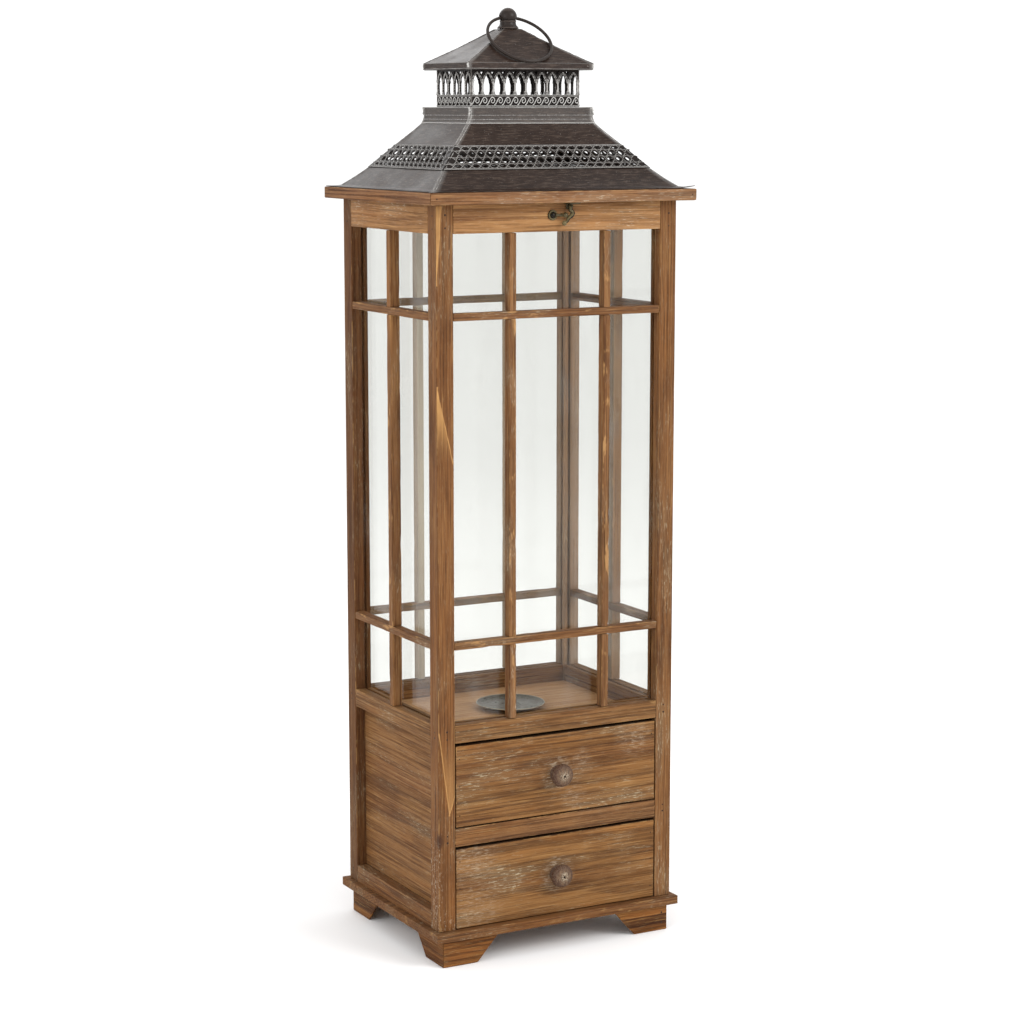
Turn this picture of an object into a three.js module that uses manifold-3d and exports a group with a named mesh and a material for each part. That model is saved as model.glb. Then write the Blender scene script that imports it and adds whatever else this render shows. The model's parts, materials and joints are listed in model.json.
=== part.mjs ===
// A tall wooden candle lantern: a glazed cabinet on bracket feet, with two drawers below the candle deck
// and a hinged lid that carries a sheet-metal hood, an arcaded vent, a cap, a finial and a carrying ring.
// Millimetres, +Z up. X is the width, -Y the front with the drawers and the latch. The origin is on the
// floor under the middle of the object.
import * as THREE from "three";
import { mergeVertices } from "three/addons/utils/BufferGeometryUtils.js";
import Module from "manifold-3d";

const wasm = await Module();
wasm.setup();

// ---- Driving dimensions ------------------------------------------------------------------------------

const GAP = 0.3; // left between pieces that touch
const STOCK = 19; // square stock of the posts and rails
const BODY_X = 140.5; // half width of the cabinet
const BODY_Y = 110.5; // half depth of the cabinet
const INNER_X = BODY_X - STOCK;
const INNER_Y = BODY_Y - STOCK;

const FOOT_HEIGHT = 29;
const FOOT_X = 136.8;
const FOOT_Y = 111.8;
const FOOT_BOARD = 10;
const FOOT_LENGTH_TOP = 67;
const FOOT_LENGTH_BOTTOM = 41;

const BASE_X = 146.5;
const BASE_Y = 118.4;
const BASE_THICK = 9.2;
const BASE_TOP = FOOT_HEIGHT + GAP + BASE_THICK;

const BASE_RAIL_TOP = BASE_TOP + GAP + STOCK;
const SILL_BOTTOM = 238.5;
const SILL_TOP = SILL_BOTTOM + STOCK;
const TOP_RAIL_BOTTOM = 762;
const BODY_TOP = 791;

const GROOVE_FROM_FACE = 11.6; // from a post's outer face to its glazing groove
const GROOVE_WIDTH = 2.8;
const GROOVE_DEPTH = 3.2;
const GLASS_THICK = 2.2;
const SHEET_INSET = 2.9; // how far glass and panel tongues reach into the grooves
const PANEL_FROM_FACE = 10.8;
const PANEL_THICK = 6;

const MUNTIN_DEPTH = 11;
const MUNTIN_RECESS = 0.3;
const MUNTIN_WIDTH = 7.8;
const SIDE_MUNTIN_WIDTH = 9;
const MUNTIN_X = 55.4; // the two uprights of the front and back lattices
const FRONT_MUNTIN_SHIFT = 2.2; // the front lattice sits a little off centre
const SIDE_MUNTIN_Y = 1.5;
const UPPER_BAR_Z = 678.4;
const LOWER_BAR_Z = 340.5;

const DECK_TOP = 239.6;
const DECK_THICK = 8;
const CLEAT = 9.5;
const WEB_BOTTOM = 128;
const WEB_TOP = 147.4;
const WEB_RUNNER_X = 100; // inner edge of the runners that carry the upper drawer
const WEB_BACK_Y = 72;

const FRONT_X = 120;
const FRONT_THICK = 12;
const FRONT_INSET = 0.4;
const DRAWER_FRONTS = { upper: [149, 235.4], lower: [39.8, 125.4] };
const DRAWER_BOX_Z = { upper: [148, 221], lower: [39.2, 112.2] };
const BOX_X = 117;
const BOX_WALL = 7;
const BOX_BACK_Y = 86;
const BOX_BOTTOM_LIFT = 4;
const BOX_BOTTOM_THICK = 3;

const DISH_RADIUS = 37.6;
const DISH_RIM_Z = 246.6;
const DISH_X = 3;

const LID_X = 155;
const LID_Y = 127.5;
const LID_BOTTOM = 791.5;
const LID_TOP = 803.5;
const LID_FRAME_WIDTH = 48;

const SHEET = 1.6; // the metal sheet, measured level
// Half sizes in X and Y, and the height, of each bend line of the hood.
const HOOD_FLANGE = [153.5, 126, LID_TOP + GAP];
const HOOD_FOOT = [142.7, 110.7, 805.7];
const HOOD_BELLY = [132.2, 99.4, 814.3];
const BAND_FOOT = [121.6, 88, 824.4];
const BAND_HEAD = [97.3, 69.1, 849];
const SHOULDER_BEND = [82, 58, 863.6];
const COLLAR_FOOT = [75.2, 53.1, 870.9];
const COLLAR_BEND = [73, 52.5, 876.5];
const COLLAR_HEAD = [72.3, 52.3, 887.2];
const VENT_HOLE = [58, 33.5];

const GALLERY_X = 63.3;
const GALLERY_Y = 38.6;
const GALLERY_BOTTOM = COLLAR_HEAD[2] + GAP;
const GALLERY_TOP = 925.6;
const FRIEZE_TOP = 898.7;
const FRONT_BAYS = 10;
const SIDE_BAYS = 6;
const ARCH_WIDTH = 6.6;
const ARCH_SPRING = 915.5;
const ARCH_CROWN = 923.4;

const EAVE_X = 73.8;
const EAVE_Y = 51.4;
const EAVE_BOTTOM = GALLERY_TOP + GAP;
const EAVE_TOP = 932.3;
const CAP_PEAK = 10; // half size of the cap's flat top
const CAP_TOP = 968;

const TOP = 990;
const BALL_RADIUS = 9.5;
const BALL_CENTRE = TOP - BALL_RADIUS;
const NECK_TOP = 977.5;
const RING_HOLE_Z = 979.6;
const RING_HOLE_RADIUS = 2.75;
const RING_RADIUS = 35;
const RING_WIRE = 1.7;
const RING_REST_GAP = 0.4;

const HINGE_X = 85;
const HINGE_LENGTH = 34;
const HINGE_Y = BODY_Y + 3.7;
const HINGE_Z = LID_BOTTOM - 2.9;
const KNUCKLE_RADIUS = 2.6;
const KNUCKLE_GAP = 0.25;
const MIDDLE_KNUCKLE = 10;
const PIN_RADIUS = 1.2;
const PIN_PLAY = 0.08;
const LEAF = 1.2;

const LEVER_X = 10.6;
const LEVER_Z = 787.4;
const LEVER_BACK_Y = -115.2;
const LEVER_THICK = 2.2;
const LEVER_ROD = 1.4;
const ROSE_X = -8;
const ROSE_Z = 778.7;
const STUD_X = 3.6;
const STUD_Z = 778.8;

const ROUND = 20; // sides of turned pieces

// ---- Materials ---------------------------------------------------------------------------------------

const material = (color, roughness, metalness) =>
  new THREE.MeshStandardMaterial({ color, roughness, metalness });
const PINE = material(0x9c6f45, 0.8, 0);
const PINE_LIGHT = material(0xb58a5c, 0.85, 0);
const PEWTER = material(0x4a4340, 0.45, 0.85);
const BRONZE = material(0x5b4a35, 0.4, 0.9);
const DISH_METAL = material(0x3b3f40, 0.35, 0.8);
const GLASS = new THREE.MeshStandardMaterial({
  color: 0xe8eeee,
  roughness: 0.05,
  metalness: 0,
  transparent: true,
  opacity: 0.25,
});

// ---- Solid tools -------------------------------------------------------------------------------------

// A closed geometry as a manifold-3d solid, and back.
function toSolid(geometry) {
  const bare = geometry.index ? geometry.toNonIndexed() : geometry.clone();
  bare.deleteAttribute("normal");
  bare.deleteAttribute("uv");
  const merged = mergeVertices(bare, 1e-4);
  return new wasm.Manifold(
    new wasm.Mesh({
      numProp: 3,
      vertProperties: merged.attributes.position.array,
      triVerts: new Uint32Array(merged.index.array),
    }),
  );
}

function toGeometry(solid) {
  const mesh = solid.getMesh();
  const geometry = new THREE.BufferGeometry();
  geometry.setAttribute("position", new THREE.BufferAttribute(mesh.vertProperties, 3));
  geometry.setIndex(new THREE.BufferAttribute(mesh.triVerts, 1));
  return geometry;
}

const join = (first, ...others) =>
  toGeometry(others.reduce((sum, g) => sum.add(toSolid(g)), toSolid(first)));
const cut = (body, ...tools) =>
  toGeometry(tools.reduce((rest, g) => rest.subtract(toSolid(g)), toSolid(body)));

// A box between two corners.
function block([x0, y0, z0], [x1, y1, z1]) {
  const box = new THREE.BoxGeometry(x1 - x0, y1 - y0, z1 - z0);
  return box.translate((x0 + x1) / 2, (y0 + y1) / 2, (z0 + z1) / 2);
}

// Turns the local frame of an extrusion so that it runs along the given axis. The outline's two
// coordinates are then (x, y) for axis z, (y, z) for axis x and (z, x) for axis y.
function turnTo(axis) {
  const X = new THREE.Vector3(1, 0, 0);
  const Y = new THREE.Vector3(0, 1, 0);
  const Z = new THREE.Vector3(0, 0, 1);
  const bases = { x: [Y, Z, X], y: [Z, X, Y], z: [X, Y, Z] };
  return new THREE.Matrix4().makeBasis(...bases[axis]);
}

// A prism: an outline, with any holes, extruded along an axis from one coordinate to another.
function prism(axis, outline, from, to, holes = []) {
  const path = (points) => points.map(([u, v]) => new THREE.Vector2(u, v));
  const shape = new THREE.Shape(path(outline));
  shape.holes = holes.map((h) => new THREE.Path(path(h)));
  const solid = new THREE.ExtrudeGeometry(shape, { depth: to - from, bevelEnabled: false });
  return solid.translate(0, 0, from).applyMatrix4(turnTo(axis));
}

// A round bar along an axis, from one coordinate to another, through the point [u, v].
function rod(axis, [u, v], radius, from, to, sides = ROUND) {
  const points = Array.from({ length: sides }, (_, i) => {
    const t = (i / sides) * 2 * Math.PI;
    return [u + radius * Math.cos(t), v + radius * Math.sin(t)];
  });
  return prism(axis, points, from, to);
}

// A piece turned on a lathe about Z: the profile is [radius, height] pairs from the axis to the axis.
function turned(profile, sides = ROUND) {
  const lathe = new THREE.LatheGeometry(profile.map(([r, z]) => new THREE.Vector2(r, z)), sides);
  return lathe.rotateX(Math.PI / 2);
}

// A surface through level rectangles, each given by its half sizes and its height. A closed tube joins
// the last rectangle to the first, and otherwise the two ends are capped.
function rectangles(rings, closedTube) {
  const corners = [[1, -1], [1, 1], [-1, 1], [-1, -1]];
  const points = rings.flatMap(([a, b, z]) => corners.map(([i, j]) => [i * a, j * b, z]));
  const faces = [];
  const quad = (p, q, r, s) => faces.push(p, q, r, p, r, s);
  const spans = closedTube ? rings.length : rings.length - 1;
  for (let k = 0; k < spans; k++) {
    const low = 4 * k;
    const high = 4 * ((k + 1) % rings.length);
    for (let i = 0; i < 4; i++) {
      const j = (i + 1) % 4;
      quad(low + i, low + j, high + j, high + i);
    }
  }
  if (!closedTube) {
    const last = 4 * (rings.length - 1);
    quad(3, 2, 1, 0);
    quad(last, last + 1, last + 2, last + 3);
  }
  const geometry = new THREE.BufferGeometry();
  geometry.setAttribute("position", new THREE.Float32BufferAttribute(points.flat(), 3));
  geometry.setIndex(faces);
  return geometry;
}

// A sheet-metal band: its outer bend lines, from the bottom up, and the same lines a sheet further in.
function sheetBand(lines) {
  const inside = lines.map(([a, b, z]) => [a - SHEET, b - SHEET, z]).reverse();
  return rectangles([...lines, ...inside], true);
}

const raise = ([a, b, z], dz) => [a, b, z + dz];

// ---- The object's tree -------------------------------------------------------------------------------

const lantern = new THREE.Group();
const cabinet = new THREE.Group();
const lid = new THREE.Group();
lantern.add(cabinet, lid);

function add(group, name, geometry, finish) {
  const mesh = new THREE.Mesh(geometry, finish);
  mesh.name = name;
  group.add(mesh);
  return mesh;
}

const SIDES = { left: -1, right: 1 };
const ENDS = { front: -1, back: 1 };

// ---- Feet and base -----------------------------------------------------------------------------------

// A bracket foot: two boards with slanted inner ends, glued into a corner.
function foot(sx, sy) {
  const outline = (corner, s) => [
    [corner, 0],
    [corner - s * FOOT_LENGTH_BOTTOM, 0],
    [corner - s * FOOT_LENGTH_TOP, FOOT_HEIGHT],
    [corner, FOOT_HEIGHT],
  ];
  const span = (corner, s) => [corner, corner - s * FOOT_BOARD].sort((a, b) => a - b);
  const across = outline(sx * FOOT_X, sx).map(([x, z]) => [z, x]);
  const along = outline(sy * FOOT_Y, sy);
  return join(
    prism("y", across, ...span(sy * FOOT_Y, sy)),
    prism("x", along, ...span(sx * FOOT_X, sx)),
  );
}

for (const [end, sy] of Object.entries(ENDS))
  for (const [side, sx] of Object.entries(SIDES))
    add(cabinet, `foot_${end}_${side}`, foot(sx, sy), PINE);

const baseBoard = block(
  [-BASE_X, -BASE_Y, FOOT_HEIGHT + GAP],
  [BASE_X, BASE_Y, BASE_TOP],
);
add(cabinet, "base_board", baseBoard, PINE);

// ---- Posts and rails ---------------------------------------------------------------------------------

// A post's section, from its outer corner inwards, with a groove in each inner face.
function postSection(sx, sy) {
  const near = GROOVE_FROM_FACE;
  const far = GROOVE_FROM_FACE + GROOVE_WIDTH;
  const floor = STOCK - GROOVE_DEPTH;
  const section = [
    [0, 0], [STOCK, 0], [STOCK, near], [floor, near], [floor, far], [STOCK, far],
    [STOCK, STOCK], [far, STOCK], [far, floor], [near, floor], [near, STOCK], [0, STOCK],
  ];
  return section.map(([u, v]) => [sx * (BODY_X - u), sy * (BODY_Y - v)]);
}

for (const [end, sy] of Object.entries(ENDS))
  for (const [side, sx] of Object.entries(SIDES)) {
    const post = prism("z", postSection(sx, sy), BASE_TOP + GAP, BODY_TOP);
    add(cabinet, `post_${end}_${side}`, post, PINE);
  }

// A rail's section as [distance from the outer face, height], with a groove in its top or bottom edge.
function railSection(bottom, top, grooveTop, grooveBottom) {
  const near = GROOVE_FROM_FACE;
  const far = GROOVE_FROM_FACE + GROOVE_WIDTH;
  const upper = top - GROOVE_DEPTH;
  const lower = bottom + GROOVE_DEPTH;
  return [
    [0, bottom],
    ...(grooveBottom ? [[near, bottom], [near, lower], [far, lower], [far, bottom]] : []),
    [STOCK, bottom],
    [STOCK, top],
    ...(grooveTop ? [[far, top], [far, upper], [near, upper], [near, top]] : []),
    [0, top],
  ];
}

// A rail between two posts, on the front, the back, the left or the right.
function rail(wall, section) {
  const sign = wall === "front" || wall === "left" ? -1 : 1;
  if (wall === "front" || wall === "back") {
    const outline = section.map(([d, z]) => [sign * (BODY_Y - d), z]);
    return prism("x", outline, -INNER_X + GAP, INNER_X - GAP);
  }
  const outline = section.map(([d, z]) => [z, sign * (BODY_X - d)]);
  return prism("y", outline, -INNER_Y + GAP, INNER_Y - GAP);
}

for (const wall of ["front", "back", "left", "right"]) {
  const panelled = wall !== "front";
  const head = railSection(TOP_RAIL_BOTTOM, BODY_TOP, false, true);
  const sill = railSection(SILL_BOTTOM, SILL_TOP, true, panelled);
  add(cabinet, `top_rail_${wall}`, rail(wall, head), PINE);
  add(cabinet, `sill_rail_${wall}`, rail(wall, sill), PINE_LIGHT);
  if (panelled) {
    const foundation = railSection(BASE_TOP + GAP, BASE_RAIL_TOP, true, false);
    add(cabinet, `base_rail_${wall}`, rail(wall, foundation), PINE);
  }
}

// ---- Panels, glass and lattices ----------------------------------------------------------------------

// A block in a wall: half width along the wall, depths from the outer face, and heights.
function wallBlock(wall, half, [near, far], [z0, z1]) {
  const sign = wall === "front" || wall === "left" ? -1 : 1;
  const face = wall === "front" || wall === "back" ? BODY_Y : BODY_X;
  const [low, high] = [sign * (face - near), sign * (face - far)].sort((a, b) => a - b);
  if (wall === "front" || wall === "back") return block([-half, low, z0], [half, high, z1]);
  return block([low, -half, z0], [high, half, z1]);
}

const innerHalf = (wall) => (wall === "front" || wall === "back" ? INNER_X : INNER_Y);
const GLASS_NEAR = GROOVE_FROM_FACE + (GROOVE_WIDTH - GLASS_THICK) / 2;
const SHEET_SPAN = [GLASS_NEAR, GLASS_NEAR + GLASS_THICK];

// The panel under the sill: a field between the posts, and a tongue in their grooves.
function lowerPanel(wall) {
  const half = innerHalf(wall);
  const field = [PANEL_FROM_FACE, PANEL_FROM_FACE + PANEL_THICK];
  return join(
    wallBlock(wall, half - GAP, field, [BASE_RAIL_TOP + GAP, SILL_BOTTOM - GAP]),
    wallBlock(wall, half + SHEET_INSET, SHEET_SPAN, [
      BASE_RAIL_TOP - SHEET_INSET,
      SILL_BOTTOM + SHEET_INSET,
    ]),
  );
}

function glassPane(wall) {
  const heights = [SILL_TOP - SHEET_INSET, TOP_RAIL_BOTTOM + SHEET_INSET];
  return wallBlock(wall, innerHalf(wall) + SHEET_INSET, SHEET_SPAN, heights);
}

// The bars in front of a pane: uprights from the sill to the top rail, half-lapped with two level bars.
function lattice(wall, uprights, width) {
  const across = wall === "front" || wall === "back";
  const depth = [MUNTIN_RECESS, MUNTIN_RECESS + MUNTIN_DEPTH];
  const upright = (at) => {
    const bar = wallBlock(wall, width / 2, depth, [SILL_TOP + GAP, TOP_RAIL_BOTTOM - GAP]);
    return across ? bar.translate(at, 0, 0) : bar.translate(0, at, 0);
  };
  const levelBar = (z) =>
    wallBlock(wall, innerHalf(wall) - GAP, depth, [z - MUNTIN_WIDTH / 2, z + MUNTIN_WIDTH / 2]);
  return join(levelBar(LOWER_BAR_Z), levelBar(UPPER_BAR_Z), ...uprights.map(upright));
}

for (const wall of ["back", "left", "right"])
  add(cabinet, `lower_panel_${wall}`, lowerPanel(wall), PINE);
for (const wall of ["front", "back", "left", "right"])
  add(cabinet, `glass_${wall}`, glassPane(wall), GLASS);

const LATTICES = {
  front: [[FRONT_MUNTIN_SHIFT - MUNTIN_X, FRONT_MUNTIN_SHIFT + MUNTIN_X], MUNTIN_WIDTH],
  back: [[-MUNTIN_X, MUNTIN_X], MUNTIN_WIDTH],
  left: [[SIDE_MUNTIN_Y], SIDE_MUNTIN_WIDTH],
  right: [[SIDE_MUNTIN_Y], SIDE_MUNTIN_WIDTH],
};
for (const [wall, [uprights, width]] of Object.entries(LATTICES))
  add(cabinet, `lattice_${wall}`, lattice(wall, uprights, width), PINE);

// ---- Candle deck, cleats, drawer web frame, candle dish ----------------------------------------------

const deck = block(
  [-INNER_X + GAP, -INNER_Y + GAP, DECK_TOP - DECK_THICK],
  [INNER_X - GAP, INNER_Y - GAP, DECK_TOP],
);
add(cabinet, "candle_deck", deck, PINE_LIGHT);

const PANEL_INNER_X = BODY_X - PANEL_FROM_FACE - PANEL_THICK;
for (const [side, sx] of Object.entries(SIDES)) {
  const edges = [sx * (PANEL_INNER_X - GAP), sx * (PANEL_INNER_X - GAP - CLEAT)];
  const [low, high] = edges.sort((a, b) => a - b);
  const top = DECK_TOP - DECK_THICK - GAP;
  const cleat = block([low, -INNER_Y + GAP, top - CLEAT], [high, INNER_Y - GAP, top]);
  add(cabinet, `deck_cleat_${side}`, cleat, PINE);
}

// The frame between the drawers: the visible rail, a runner on each side and a back rail.
const webOutline = [
  [-INNER_X + GAP, -BODY_Y + FRONT_INSET],
  [INNER_X - GAP, -BODY_Y + FRONT_INSET],
  [INNER_X - GAP, INNER_Y - GAP],
  [-INNER_X + GAP, INNER_Y - GAP],
];
const webHole = [
  [-WEB_RUNNER_X, -INNER_Y],
  [-WEB_RUNNER_X, WEB_BACK_Y],
  [WEB_RUNNER_X, WEB_BACK_Y],
  [WEB_RUNNER_X, -INNER_Y],
];
const webFrame = prism("z", webOutline, WEB_BOTTOM, WEB_TOP, [webHole]);
add(cabinet, "drawer_web_frame", webFrame, PINE);

// A shallow dish on a turned foot.
const dishProfile = [
  [0, DECK_TOP + GAP],
  [13, DECK_TOP + GAP],
  [11, 241.6],
  [25, 242],
  [DISH_RADIUS - 0.6, DISH_RIM_Z - 0.6],
  [DISH_RADIUS, DISH_RIM_Z],
  [DISH_RADIUS - 1.2, DISH_RIM_Z],
  [25, 243],
  [0, 243],
];
add(cabinet, "candle_dish", turned(dishProfile, 32), DISH_METAL).position.x = DISH_X;

// ---- Drawers -----------------------------------------------------------------------------------------

// The two sides and the back of a drawer, as one U.
function drawerBox([z0, z1]) {
  const front = -BODY_Y + FRONT_INSET + FRONT_THICK + GAP;
  const outline = [
    [-BOX_X, front], [-BOX_X + BOX_WALL, front],
    [-BOX_X + BOX_WALL, BOX_BACK_Y - BOX_WALL], [BOX_X - BOX_WALL, BOX_BACK_Y - BOX_WALL],
    [BOX_X - BOX_WALL, front], [BOX_X, front],
    [BOX_X, BOX_BACK_Y], [-BOX_X, BOX_BACK_Y],
  ];
  return prism("z", outline, z0, z1);
}

function drawerBottom([z0]) {
  const front = -BODY_Y + FRONT_INSET + FRONT_THICK + GAP;
  const low = z0 + BOX_BOTTOM_LIFT;
  return block(
    [-BOX_X + BOX_WALL + GAP, front, low],
    [BOX_X - BOX_WALL - GAP, BOX_BACK_Y - BOX_WALL - GAP, low + BOX_BOTTOM_THICK],
  );
}

// A turned mushroom knob with a dimple in its face, its axis pointing to the front.
function knob() {
  const profile = [
    [0, 0], [8.4, 0], [7, 1.6], [6.2, 4.6], [8.4, 7], [12, 8.8], [12.2, 10.6],
    [11.2, 13.2], [8, 15.4], [3, 16.4], [1.6, 16.4], [1, 15.2], [0, 15.2],
  ];
  return turned(profile, 24).rotateX(Math.PI / 2);
}

for (const [level, [z0, z1]] of Object.entries(DRAWER_FRONTS)) {
  const drawer = new THREE.Group();
  cabinet.add(drawer);
  const face = -BODY_Y + FRONT_INSET;
  const front = block([-FRONT_X, face, z0], [FRONT_X, face + FRONT_THICK, z1]);
  add(drawer, `drawer_front_${level}`, front, PINE);
  add(drawer, `drawer_box_${level}`, drawerBox(DRAWER_BOX_Z[level]), PINE_LIGHT);
  add(drawer, `drawer_bottom_${level}`, drawerBottom(DRAWER_BOX_Z[level]), PINE_LIGHT);
  const pull = add(drawer, `drawer_knob_${level}`, knob(), PINE_LIGHT);
  pull.position.set(0, face - GAP, (z0 + z1) / 2);
}

// ---- Lid frame and hood ------------------------------------------------------------------------------

const lidHole = [LID_X - LID_FRAME_WIDTH, LID_Y - LID_FRAME_WIDTH];
const lidFrame = rectangles(
  [
    [LID_X, LID_Y, LID_BOTTOM],
    [LID_X, LID_Y, LID_TOP],
    [...lidHole, LID_TOP],
    [...lidHole, LID_BOTTOM],
  ],
  true,
);
add(lid, "lid_frame", lidFrame, PINE);

const skirt = rectangles(
  [
    HOOD_FLANGE,
    raise(HOOD_FLANGE, 1),
    HOOD_FOOT,
    HOOD_BELLY,
    raise(BAND_FOOT, -GAP / 2),
    [BAND_FOOT[0] - SHEET, BAND_FOOT[1] - SHEET, BAND_FOOT[2] - GAP / 2],
    [HOOD_BELLY[0] - SHEET, HOOD_BELLY[1] - SHEET, HOOD_BELLY[2]],
    [HOOD_FOOT[0] - SHEET, HOOD_FOOT[1] - SHEET, HOOD_FLANGE[2]],
  ],
  true,
);
add(lid, "hood_skirt", skirt, PEWTER);

const band = sheetBand([raise(BAND_FOOT, GAP / 2), raise(BAND_HEAD, -GAP / 2)]);
add(lid, "hood_filigree_band", band, PEWTER);

const shoulder = sheetBand([
  raise(BAND_HEAD, GAP / 2),
  SHOULDER_BEND,
  raise(COLLAR_FOOT, -GAP / 2),
]);
add(lid, "hood_shoulder", shoulder, PEWTER);

const collar = rectangles(
  [
    raise(COLLAR_FOOT, GAP / 2),
    COLLAR_BEND,
    COLLAR_HEAD,
    [...VENT_HOLE, COLLAR_HEAD[2]],
    [...VENT_HOLE, COLLAR_HEAD[2] - SHEET],
    [COLLAR_HEAD[0] - SHEET, COLLAR_HEAD[1] - SHEET, COLLAR_HEAD[2] - SHEET],
    [COLLAR_BEND[0] - SHEET, COLLAR_BEND[1] - SHEET, COLLAR_BEND[2]],
    [COLLAR_FOOT[0] - SHEET, COLLAR_FOOT[1] - SHEET, COLLAR_FOOT[2] + GAP / 2],
  ],
  true,
);
add(lid, "hood_collar", collar, PEWTER);

// ---- Vent gallery ------------------------------------------------------------------------------------

// A pointed arch opening, as [position along the wall, height].
function archOutline(centre) {
  const half = ARCH_WIDTH / 2;
  const foot = FRIEZE_TOP + 1;
  return [
    [centre - half * 0.7, foot],
    [centre + half * 0.7, foot],
    [centre + half, foot + 6],
    [centre + half * 0.8, ARCH_SPRING],
    [centre + half * 0.55, ARCH_SPRING + 4],
    [centre, ARCH_CROWN],
    [centre - half * 0.55, ARCH_SPRING + 4],
    [centre - half * 0.8, ARCH_SPRING],
    [centre - half, foot + 6],
  ];
}

function bayCentres(half, bays) {
  const pitch = (2 * half) / bays;
  return Array.from({ length: bays }, (_, i) => -half + pitch * (i + 0.5));
}

function gallery() {
  const wall = [GALLERY_X - SHEET, GALLERY_Y - SHEET];
  const tube = rectangles(
    [
      [GALLERY_X, GALLERY_Y, GALLERY_BOTTOM],
      [GALLERY_X, GALLERY_Y, GALLERY_TOP],
      [...wall, GALLERY_TOP],
      [...wall, GALLERY_BOTTOM],
    ],
    true,
  );
  const past = 2;
  const throughFront = bayCentres(GALLERY_X, FRONT_BAYS).map((x) => {
    const outline = archOutline(x).map(([u, z]) => [z, u]);
    return prism("y", outline, -GALLERY_Y - past, GALLERY_Y + past);
  });
  const throughSide = bayCentres(GALLERY_Y, SIDE_BAYS).map((y) =>
    prism("x", archOutline(y), -GALLERY_X - past, GALLERY_X + past),
  );
  return cut(tube, ...throughFront, ...throughSide);
}

add(lid, "vent_gallery", gallery(), PEWTER);

// ---- Cap, finial and ring ----------------------------------------------------------------------------

// A hollow sheet pyramid with a fascia, and a soffit that rests on the gallery.
function capRoof() {
  const outside = rectangles([
    [EAVE_X, EAVE_Y, EAVE_BOTTOM],
    [EAVE_X - 0.3, EAVE_Y - 0.3, EAVE_TOP],
    [CAP_PEAK, CAP_PEAK, CAP_TOP],
  ]);
  const hollow = rectangles([
    [EAVE_X - SHEET, EAVE_Y - SHEET, EAVE_BOTTOM + SHEET],
    [EAVE_X - 2 * SHEET, EAVE_Y - 2 * SHEET, EAVE_TOP - 0.2],
    [CAP_PEAK - SHEET, CAP_PEAK - SHEET, CAP_TOP - SHEET],
  ]);
  const below = EAVE_BOTTOM - 1;
  const hole = rectangles([[...VENT_HOLE, below], [...VENT_HOLE, EAVE_BOTTOM + SHEET + 1]]);
  return cut(outside, hollow, hole);
}

add(lid, "cap_roof", capRoof(), PEWTER);

// A ball on a flared neck, with a level hole for the ring.
function finial() {
  const ball = [80, 60, 40, 20, 0, -18].map((degrees) => {
    const t = THREE.MathUtils.degToRad(degrees);
    return [BALL_RADIUS * Math.cos(t), BALL_CENTRE + BALL_RADIUS * Math.sin(t)];
  });
  const profile = [
    [0, CAP_TOP + GAP],
    [11, CAP_TOP + GAP],
    [11, 969.6],
    [9.2, 971.6],
    [8.5, 974],
    [8.6, NECK_TOP - 0.7],
    [7.8, NECK_TOP - 0.2],
    ...ball.reverse(),
    [0, TOP],
  ];
  const hole = rod("x", [0, RING_HOLE_Z], RING_HOLE_RADIUS, -BALL_RADIUS - 1, BALL_RADIUS + 1, 12);
  return cut(turned(profile, 24), hole);
}

add(lid, "finial", finial(), PEWTER);

// The ring turns about the finial's hole. At rest it leans on the front slope of the cap, so its tilt
// below level is the slope's own, less what keeps its far side a little clear of the sheet.
const FRONT_SLOPE = Math.atan2(CAP_TOP - EAVE_TOP, EAVE_Y - 0.3 - CAP_PEAK);
const SLOPE_AT_AXIS = CAP_TOP + CAP_PEAK * Math.tan(FRONT_SLOPE);
const HOLE_ABOVE_SLOPE = (RING_HOLE_Z - SLOPE_AT_AXIS) * Math.cos(FRONT_SLOPE);
const RING_REACH = 2 * RING_RADIUS - (BALL_RADIUS * BALL_RADIUS) / (4 * RING_RADIUS);
const RING_LIFT = RING_WIRE + RING_REST_GAP - HOLE_ABOVE_SLOPE;
const RING_TILT = FRONT_SLOPE - Math.asin(RING_LIFT / RING_REACH);

const ringPivot = new THREE.Group();
ringPivot.position.z = RING_HOLE_Z;
ringPivot.rotation.x = RING_TILT;
lid.add(ringPivot);
const ring = new THREE.TorusGeometry(RING_RADIUS, RING_WIRE, 8, 48);
// The wire bows inside the hole, so the ring's centre is nearer the hole by half of that bow.
const RING_BOW = (BALL_RADIUS * BALL_RADIUS) / (4 * RING_RADIUS);
add(ringPivot, "carrying_ring", ring, PEWTER).position.y = -(RING_RADIUS - RING_BOW);

// ---- Hinges ------------------------------------------------------------------------------------------

// The leaf on the cabinet's back, with the middle knuckle and the pin.
function cabinetLeaf(x) {
  const half = HINGE_LENGTH / 2;
  const tab = MIDDLE_KNUCKLE / 2;
  const near = BODY_Y + GAP;
  const axis = [HINGE_Y, HINGE_Z];
  const leafTop = HINGE_Z - KNUCKLE_RADIUS - 0.4;
  return join(
    block([x - half, near, 768], [x + half, near + LEAF, leafTop]),
    block([x - tab, near, leafTop - 1], [x + tab, near + LEAF, HINGE_Z + 0.4]),
    rod("x", axis, KNUCKLE_RADIUS, x - tab, x + tab, 16),
    rod("x", axis, PIN_RADIUS, x - half - 1, x + half + 1, 16),
  );
}

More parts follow.
